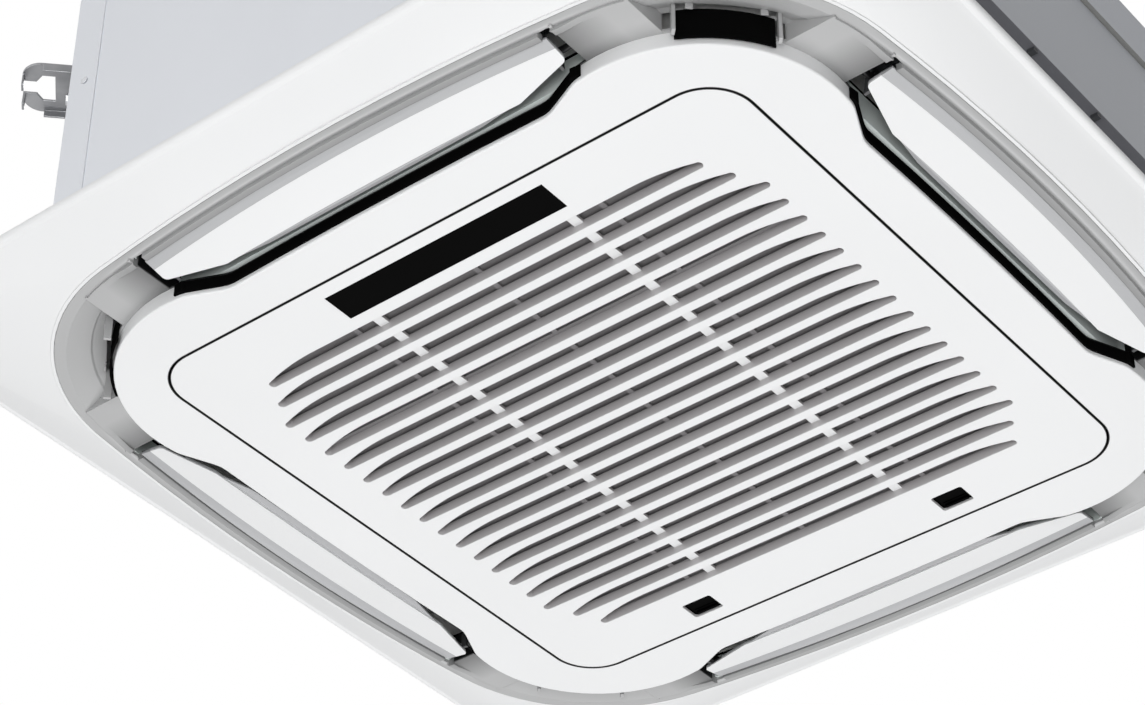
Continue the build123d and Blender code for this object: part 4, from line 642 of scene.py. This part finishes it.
# Painted shade: the grille's slot walls grow greyer with depth.
SLOT_WALL_SHADE = (Shade((0.62, 0.605, 0.61), SLOT_LIP, Zone.WALLS),
             Shade((0.42, 0.405, 0.41), SLOT_DEPTH, Zone.WALLS))
# Painted shade: the seam between grille and panel, and a thin band of face beside it, painted near
# black.
SEAM_SHADE = Shade((0.02, 0.0195, 0.02), SEAM_DEPTH, Zone.SEAM)

WHITE_FRAME = Finish("white_frame", WHITE, WHITE_SECOND, 0.45, relief=0.00001, edge=0.0008)
WHITE_PANEL = Finish("white_panel", WHITE, WHITE_SECOND, 0.42, relief=0.00001, edge=0.0006,
                     shades=(SEAM_SHADE,))
WHITE_GRILLE = Finish("white_grille", WHITE, WHITE_SECOND, 0.42, relief=0.00001, edge=0.0005,
                      shades=(*SLOT_WALL_SHADE, SEAM_SHADE))
WHITE_LOUVER = Finish("white_louver", (0.835, 0.84, 0.843), (0.82, 0.825, 0.828), 0.4,
                      relief=0.00001, edge=0.0004)
# Painted shade: the ring is black inside the outlets above OUTLET_DEPTH. Painted highlight and
# shade: the brightness profile across the band beside the outlets.
GREY_RING = Finish("grey_ring", (0.455, 0.457, 0.458), (0.435, 0.437, 0.438), 0.45, edge=0.0008,
                   shades=(Shade(BLACK, OUTLET_DEPTH, Zone.OUTLET),),
                   profile=((0.4108, 0.35), (0.4122, 0.62), (0.4165, 0.72), (0.4188, 0.95),
                            (0.4205, 1.25), (0.4225, 1.0), (0.4262, 0.86), (0.4276, 0.7),
                            (0.434, 0.9)))
# Painted shade: the louver shell's top above SHELL_TOP is black, and its inner ends are near
# black.
LOUVER_GREY = Finish("louver_grey", (0.46, 0.465, 0.475), (0.445, 0.45, 0.46), 0.42, edge=0.0004,
                     shades=(Shade(BLACK, SHELL_TOP),
                             Shade((0.05, 0.051, 0.054), SHELL_WHOLE, Zone.ENDS)))
# Painted light: the duct foam is given a light colour, to lift its walls that lie in shade inside
# the outlets.
DUCT_FOAM = Finish("duct_foam", (0.78, 0.84, 0.82), (0.72, 0.78, 0.76), 0.85, relief=0.0002,
                   fine_scale=350.0)
BLACK_GLOSS = Finish("black_gloss", (0.0008, 0.0008, 0.0008), (0.0012, 0.0012, 0.0012), 0.5,
                     relief=0.0, specular=0.015)
BLACK_FOAM = Finish("black_foam", (0.003, 0.003, 0.003), (0.005, 0.005, 0.005), 1.0, spread=0.0,
                    specular=0.0, fine_scale=500.0)
NET = Finish("filter_net", (0.3, 0.288, 0.292), (0.25, 0.24, 0.245), 0.8, pattern=Pattern.NET,
             pitch=700.0, relief=0.0002)
FILTER_GREY = Finish("filter_grey", (0.24, 0.231, 0.236), (0.22, 0.212, 0.216), 0.6)
CASE_PAINT = Finish("case_paint", (0.82, 0.84, 0.88), (0.79, 0.81, 0.85), 0.42, coat=0.1,
                    edge=0.0012, wear=(0.88, 0.89, 0.92))
# Painted shade: the wiring cover and hood get a darker copy of the case paint, for the side turned
# from the light, with painted shade darker still on the cover's underside and on the hood's
# underside where it meets the cover.
COVER_SHADED_PAINT = Finish("cover_shaded_paint", (0.53, 0.545, 0.575), (0.51, 0.525, 0.555), 0.5, specular=0.3,
                     edge=0.0012, shades=(Shade((0.19, 0.19, 0.205), COVER_UNDERSIDE),
                                          Shade((0.3, 0.3, 0.29), HOOD_UNDERSIDE),
                                          Shade((0.55, 0.565, 0.6), HOOD_FRONT)))
ZINC = Finish("zinc_plate", (0.6, 0.61, 0.63), (0.5, 0.51, 0.53), 0.36, metallic=1.0,
              slow_scale=60.0, spread=0.1, edge=0.001, wear=(0.82, 0.83, 0.85))
BRACKET_ZINC = Finish("bracket_zinc", (0.3, 0.303, 0.312), (0.22, 0.223, 0.232), 0.42,
                      metallic=1.0, slow_scale=40.0, spread=0.08, edge=0.001,
                      wear=(0.6, 0.61, 0.63))
SPRING = Finish("spring_steel", (0.5, 0.5, 0.52), (0.42, 0.42, 0.44), 0.25, metallic=1.0)
COPPER = Finish("copper_tube", (0.78, 0.4, 0.25), (0.6, 0.3, 0.2), 0.3, metallic=1.0,
                slow_scale=30.0)
BRASS = Finish("brass_nut", (0.72, 0.55, 0.25), (0.62, 0.46, 0.2), 0.28, metallic=1.0,
               slow_scale=40.0, edge=0.0008, wear=(0.85, 0.7, 0.4))
FIN_STOCK = Finish("fin_stock", (0.7, 0.72, 0.75), (0.6, 0.62, 0.65), 0.35, metallic=1.0,
                   pattern=Pattern.FINS, pitch=600.0, relief=0.0006)
WHITE_FOAM = Finish("white_foam", (0.8, 0.8, 0.79), (0.74, 0.74, 0.73), 0.9, relief=0.0004,
                    fine_scale=260.0)
DARK_PLASTIC = Finish("dark_plastic", (0.03, 0.031, 0.033), (0.025, 0.026, 0.028), 0.5,
                      edge=0.0006)
CLIP_GREY = Finish("clip_grey", (0.06, 0.062, 0.066), (0.05, 0.052, 0.056), 0.5, edge=0.0006)
NATURAL_PLASTIC = Finish("natural_plastic", (0.72, 0.71, 0.68), (0.68, 0.67, 0.64), 0.5,
                         edge=0.0006)
BOARD = Finish("circuit_board", (0.02, 0.12, 0.06), (0.015, 0.1, 0.05), 0.45)


# ------------------------------------------------------------------ sub-assemblies
@dataclass
class Assembly:
    """A part of the unit with its CAD nodes and their finishes.

    Attributes:
        frame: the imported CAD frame, with its node objects by name.
    """

    frame: dict

    def dress_nodes(self, finishes: dict[str, Finish]) -> None:
        """Give each named CAD node its finish.

        Args:
            finishes: finish by node name.
        """
        for name, finish in finishes.items():
            finish.dress(self.frame["nodes"][name])
            LOG.info("dressed %s with %s", name, finish.name)


@dataclass
class Panel(Assembly):
    """The white frame, the grey ring with its corner pockets, and the white inner panel."""

    def build(self) -> None:
        """Dress the panel's mouldings, seals and ducts."""
        self.dress_nodes({
            "outer_frame": WHITE_FRAME, "inner_panel": WHITE_PANEL, "outlet_ring": GREY_RING,
            "louver_seal": BLACK_FOAM, "air_ducts": DUCT_FOAM, "duct_gaskets": BLACK_FOAM,
            "louver_bushes": DARK_PLASTIC, "louver_motors": DARK_PLASTIC, "panel_screws": ZINC,
        })


@dataclass
class Louvers(Assembly):
    """The four louvers."""

    def build(self) -> None:
        """Dress the louvers' faces and their shells."""
        for side in SIDES:
            self.dress_nodes({f"louver_face_{side}": WHITE_LOUVER,
                              f"louver_carrier_{side}": LOUVER_GREY})


@dataclass
class LatchSpring:
    """A latch's small coil spring, which the latch presses against its stop on the grille.

    Attributes:
        side: the latch it serves.
        across: where its axis lies across the grille.
        height: height of its axis.
        start: where its first turn begins, along its axis.
        length: length of the coil along its axis.
        radius: from the axis to the middle of the wire.
        wire: radius of the wire.
        turns: turns of the coil.
        steps: rings of points along the wire.
        ring: points round the wire.
        stop: where the end that stays still rests, along its axis; not used.
        pressed: share of its length that is left when the latch is pushed home; not used.
    """

    side: str
    across: float
    height: float = -0.0384
    start: float = 0.24995
    length: float = 0.0096
    radius: float = 0.0026
    wire: float = 0.00034
    turns: int = 4
    steps: int = 160
    ring: int = 10
    stop: float = 0.2495
    pressed: float = 0.32

    def build(self) -> bpy.types.Object:
        """Make the spring's mesh and dress it, hide the CAD spring, and let it ride with the
        grille door.

        Returns:
            The spring.
        """
        name = f"spring_wire_{self.side}"
        mesh = bpy.data.meshes.new(name)
        mesh.from_pydata(self._skin().tolist(), [], self._faces())
        mesh.shade_smooth()
        mesh.update()
        piece = add_object(name, mesh)
        SPRING.dress(piece)
        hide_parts(f"latch_spring_{self.side}")
        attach(piece, "grille_door")
        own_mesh(piece)
        return piece

    def _skin(self) -> np.ndarray:
        """Sweep a round wire along the coil.

        The wire's middle line turns evenly about an axis along Y while it moves along it. Each
        point of the wire's skin lies one wire radius from that line, on the circle spanned by the
        outward direction and the direction square to both it and the line's own.

        Returns:
            The points, one ring of them after another.
        """
        along = np.linspace(0.0, 1.0, self.steps + 1)
        turn = TURN * self.turns * along
        outward = np.stack([np.cos(turn), np.zeros_like(turn), np.sin(turn)], axis=1)
        middle = self.radius * outward + (self.across, self.start, self.height)
        middle[:, 1] += self.length * along
        pace = TURN * self.turns * self.radius
        ahead = np.stack([-pace * np.sin(turn), np.full_like(turn, self.length),
                          pace * np.cos(turn)], axis=1)
        ahead /= np.linalg.norm(ahead, axis=1, keepdims=True)
        beside = np.cross(ahead, outward)
        angle = np.linspace(0.0, TURN, self.ring, endpoint=False)[None, :, None]
        circle = np.cos(angle) * outward[:, None] + np.sin(angle) * beside[:, None]
        return (middle[:, None] + self.wire * circle).reshape(-1, 3)

    def _faces(self) -> list[list[int]]:
        """Join each ring of points to the next by quads, and close both ends.

        Returns:
            The corners of every face.
        """
        rings = np.arange(self.steps)[:, None] * self.ring
        spots = np.arange(self.ring)
        first, second = rings + spots, rings + np.roll(spots, -1)
        sides = np.stack([first, first + self.ring, second + self.ring, second], axis=2)
        near = spots.tolist()
        far = (spots + self.steps * self.ring)[::-1].tolist()
        return sides.reshape(-1, 4).tolist() + [near, far]


@dataclass
class Grille(Assembly):
    """The intake grille with its display, latches, hinge and filter.

    Attributes:
        latch_across: distance of each latch from the grille's middle.
    """

    latch_across: float = 0.1392

    def build(self) -> None:
        """Dress the grille and what it carries, and make the latches' springs."""
        self.dress_nodes({
            "grille": WHITE_GRILLE, "grille_hinge_pins": ZINC, "display_lens": BLACK_GLOSS,
            "display_board": BOARD, "latch_left": BLACK_GLOSS, "latch_right": BLACK_GLOSS,
            "filter_frame": FILTER_GREY, "filter_mesh": NET,
        })
        for side, hand in (("left", -1), ("right", 1)):
            spring = LatchSpring(side, hand * self.latch_across).build()
            LOG.info("built %s", spring.name)


@dataclass
class Body(Assembly):
    """The steel case, its brackets and what leaves it."""

    def build(self) -> None:
        """Dress the case and its fittings."""
        self.dress_nodes({
            "side_plates": CASE_PAINT, "corner_posts": CASE_PAINT, "top_plate": CASE_PAINT,
            "casing_screws": ZINC, "wiring_cover": COVER_SHADED_PAINT, "wiring_hood": COVER_SHADED_PAINT,
            "wire_clips": CLIP_GREY, "hanger_brackets": BRACKET_ZINC, "bracket_bolts": ZINC,
            "liner": WHITE_FOAM, "refrigerant_pipes": COPPER, "pipe_plate": ZINC,
            "flare_nuts": BRASS, "drain_outlet": NATURAL_PLASTIC, "cable_gland": DARK_PLASTIC,
        })


@dataclass
class InnerWorks(Assembly):
    """Fan, coil, drain pan and controls inside the case."""

    def build(self) -> None:
        """Dress the inner parts."""
        self.dress_nodes({
            "drain_pan": WHITE_FOAM, "bell_mouth": DARK_PLASTIC, "heat_exchanger": FIN_STOCK,
            "coil_tubes": COPPER, "turbo_fan": DARK_PLASTIC, "fan_motor": ZINC,
            "motor_mounts": BLACK_FOAM, "fan_nut": BRASS, "fan_shaft": SPRING,
            "control_box": ZINC, "control_box_cover": ZINC, "terminal_block": NATURAL_PLASTIC,
            "circuit_board": BOARD, "drain_pump": NATURAL_PLASTIC, "pump_impeller": DARK_PLASTIC,
            "float_switch": NATURAL_PLASTIC, "float_ring": WHITE_FOAM, "drain_hose": DARK_PLASTIC,
        })


# ------------------------------------------------------------------ studio
@dataclass(frozen=True)
class Lamp:
    """A square soft lamp.

    Attributes:
        name: the lamp's name.
        place: where it stands.
        aim: the point it faces.
        size: its side in metres.
        power: its power in watts.
    """

    name: str
    place: Point
    aim: Point
    size: float
    power: float

    def hang(self) -> None:
        """Add the lamp to the scene, unseen by the camera."""
        data = bpy.data.lights.new(self.name, "AREA")
        data.size = self.size
        data.energy = self.power
        lamp = add_object(self.name, data)
        way = Vector(self.aim) - Vector(self.place)
        turn = way.to_track_quat("-Z", "Y").to_matrix().to_4x4()
        lamp.matrix_world = Matrix.Translation(self.place) @ turn
        lamp.visible_camera = False


CEILING_CENTRE: Point = (0.0, 0.0, 0.0)
LAMPS = (
    Lamp("key_below", (-0.2, 0.45, -2.4), CEILING_CENTRE, 3.0, 49.0),
    Lamp("low_display_side", (2.2, -3.5, -2.4), CEILING_CENTRE, 1.6, 84.0),
    Lamp("fill_display_side", (-0.9, -3.4, 0.7), (0.0, -0.3, 0.15), 2.2, 32.0),
    Lamp("high_wiring_side", (3.0, 0.2, 2.4), (0.4, 0.0, 0.25), 1.8, 5.0),
    Lamp("back_above", (-1.6, 2.4, 2.6), (0.0, 0.0, 0.2), 2.4, 60.0),
)


@dataclass(frozen=True)
class Studio:
    """Camera, lamps, floor and background.

    Attributes:
        lens: the camera's focal length in millimetres.
        sensor: the sensor's width in millimetres.
        sight: the farthest distance the camera sees.
        place: where the camera stands.
        right: direction of the picture's right.
        down: direction of the picture's lower edge.
        ahead: direction of the view.
        floor_drop: how far the floor lies below the ceiling face.
        floor_half: half the floor's width.
        floor_pale: share of white in the floor where the background is looked at.
        floor_grey: the floor's colour to the light that falls on it.
        floor_rough: the floor's roughness.
        world_light: colour of the even light.
        world_strength: strength of the even light.
    """

    lens: float = 99.42
    sensor: float = 36.0
    sight: float = 60.0
    place: Point = (1.29857, -1.74394, -1.71038)
    right: Point = (0.784995383, 0.619501211, 0.000706016)
    down: Point = (-0.385481273, 0.489350636, -0.782266031)
    ahead: Point = (-0.484960244, 0.613803066, 0.622944105)
    floor_drop: float = 5.0
    floor_half: float = 40.0
    floor_pale: float = 0.92
    floor_grey: float = 0.85
    floor_rough: float = 0.9
    world_light: Colour = (0.97, 0.98, 1.0)
    world_strength: float = 0.24

    def build(self) -> None:
        """Set the stage up."""
        self._camera()
        self._floor()
        self._world()
        for lamp in LAMPS:
            lamp.hang()
        bpy.context.scene.view_settings.view_transform = "Standard"

    def _camera(self) -> None:
        """Place the camera by its three axes, with the view's axis in the middle of the frame."""
        data = bpy.data.cameras.new("photo_camera")
        data.lens = self.lens
        data.sensor_width = self.sensor
        data.clip_end = self.sight
        camera = add_object("photo_camera", data)
        right, down, ahead = (Vector(axis) for axis in (self.right, self.down, self.ahead))
        turn = Matrix((right, -down, -ahead)).transposed().to_4x4()
        camera.matrix_world = Matrix.Translation(self.place) @ turn
        bpy.context.scene.camera = camera

    def _floor(self) -> None:
        """Lay a plain pale floor, far enough below the part to look up at it from any side."""
        half, drop = self.floor_half, -self.floor_drop
        mesh = bpy.data.meshes.new("floor")
        mesh.from_pydata([(-half, -half, drop), (half, -half, drop), (half, half, drop),
                          (-half, half, drop)], [], [(0, 1, 2, 3)])
        floor = add_object("floor", mesh)
        paint = bpy.data.materials.new("floor_paint")
        paint.use_nodes = True
        tree = NodeTree(paint.node_tree)
        shader = tree.tree.nodes["Principled BSDF"]
        shader.inputs["Base Color"].default_value = (*3 * (self.floor_grey,), 1.0)
        shader.inputs["Roughness"].default_value = self.floor_rough
        pale = tree.add("ShaderNodeEmission")
        pale.inputs["Color"].default_value = (1.0, 1.0, 1.0, 1.0)
        share = tree.math("MULTIPLY", self._looked_at(tree), self.floor_pale)
        shown = tree.layer(share, shader.outputs[0], pale.outputs[0])
        tree.link(shown, tree.tree.nodes["Material Output"].inputs["Surface"])
        mesh.materials.append(paint)

    def _looked_at(self, tree: NodeTree) -> Socket:
        """Mark the rays that show the background: seen straight, in gloss or through glass.

        Args:
            tree: the tree of the world or the floor.

        Returns:
            1 on such a ray, 0 on one that only lights the object.
        """
        rays = tree.add("ShaderNodeLightPath").outputs
        seen = tree.math("MAXIMUM", rays["Is Camera Ray"], rays["Is Transmission Ray"])
        return tree.math("MAXIMUM", seen, rays["Is Glossy Ray"])

    def _world(self) -> None:
        """White to the camera and in reflections, a soft even light to the object."""
        world = bpy.data.worlds.new("studio")
        bpy.context.scene.world = world
        world.use_nodes = True
        tree = NodeTree(world.node_tree)
        tree.tree.nodes.clear()
        lit, shown = (tree.add("ShaderNodeBackground") for _ in range(2))
        lit.inputs["Color"].default_value = (*self.world_light, 1.0)
        lit.inputs["Strength"].default_value = self.world_strength
        shown.inputs["Color"].default_value = (1.0, 1.0, 1.0, 1.0)
        shown.inputs["Strength"].default_value = 1.0
        out = tree.add("ShaderNodeOutputWorld")
        sky = tree.layer(self._looked_at(tree), lit.outputs[0], shown.outputs[0])
        tree.link(sky, out.inputs["Surface"])


def main() -> None:
    """Load the frame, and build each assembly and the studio."""
    logging.basicConfig(level=logging.INFO, format="%(name)s: %(message)s")
    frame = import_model()
    for kind in (Panel, Louvers, Grille, Body, InnerWorks):
        kind(frame).build()
        LOG.info("%s done", kind.__name__)
    Studio().build()


if __name__ == "__main__":
    main()
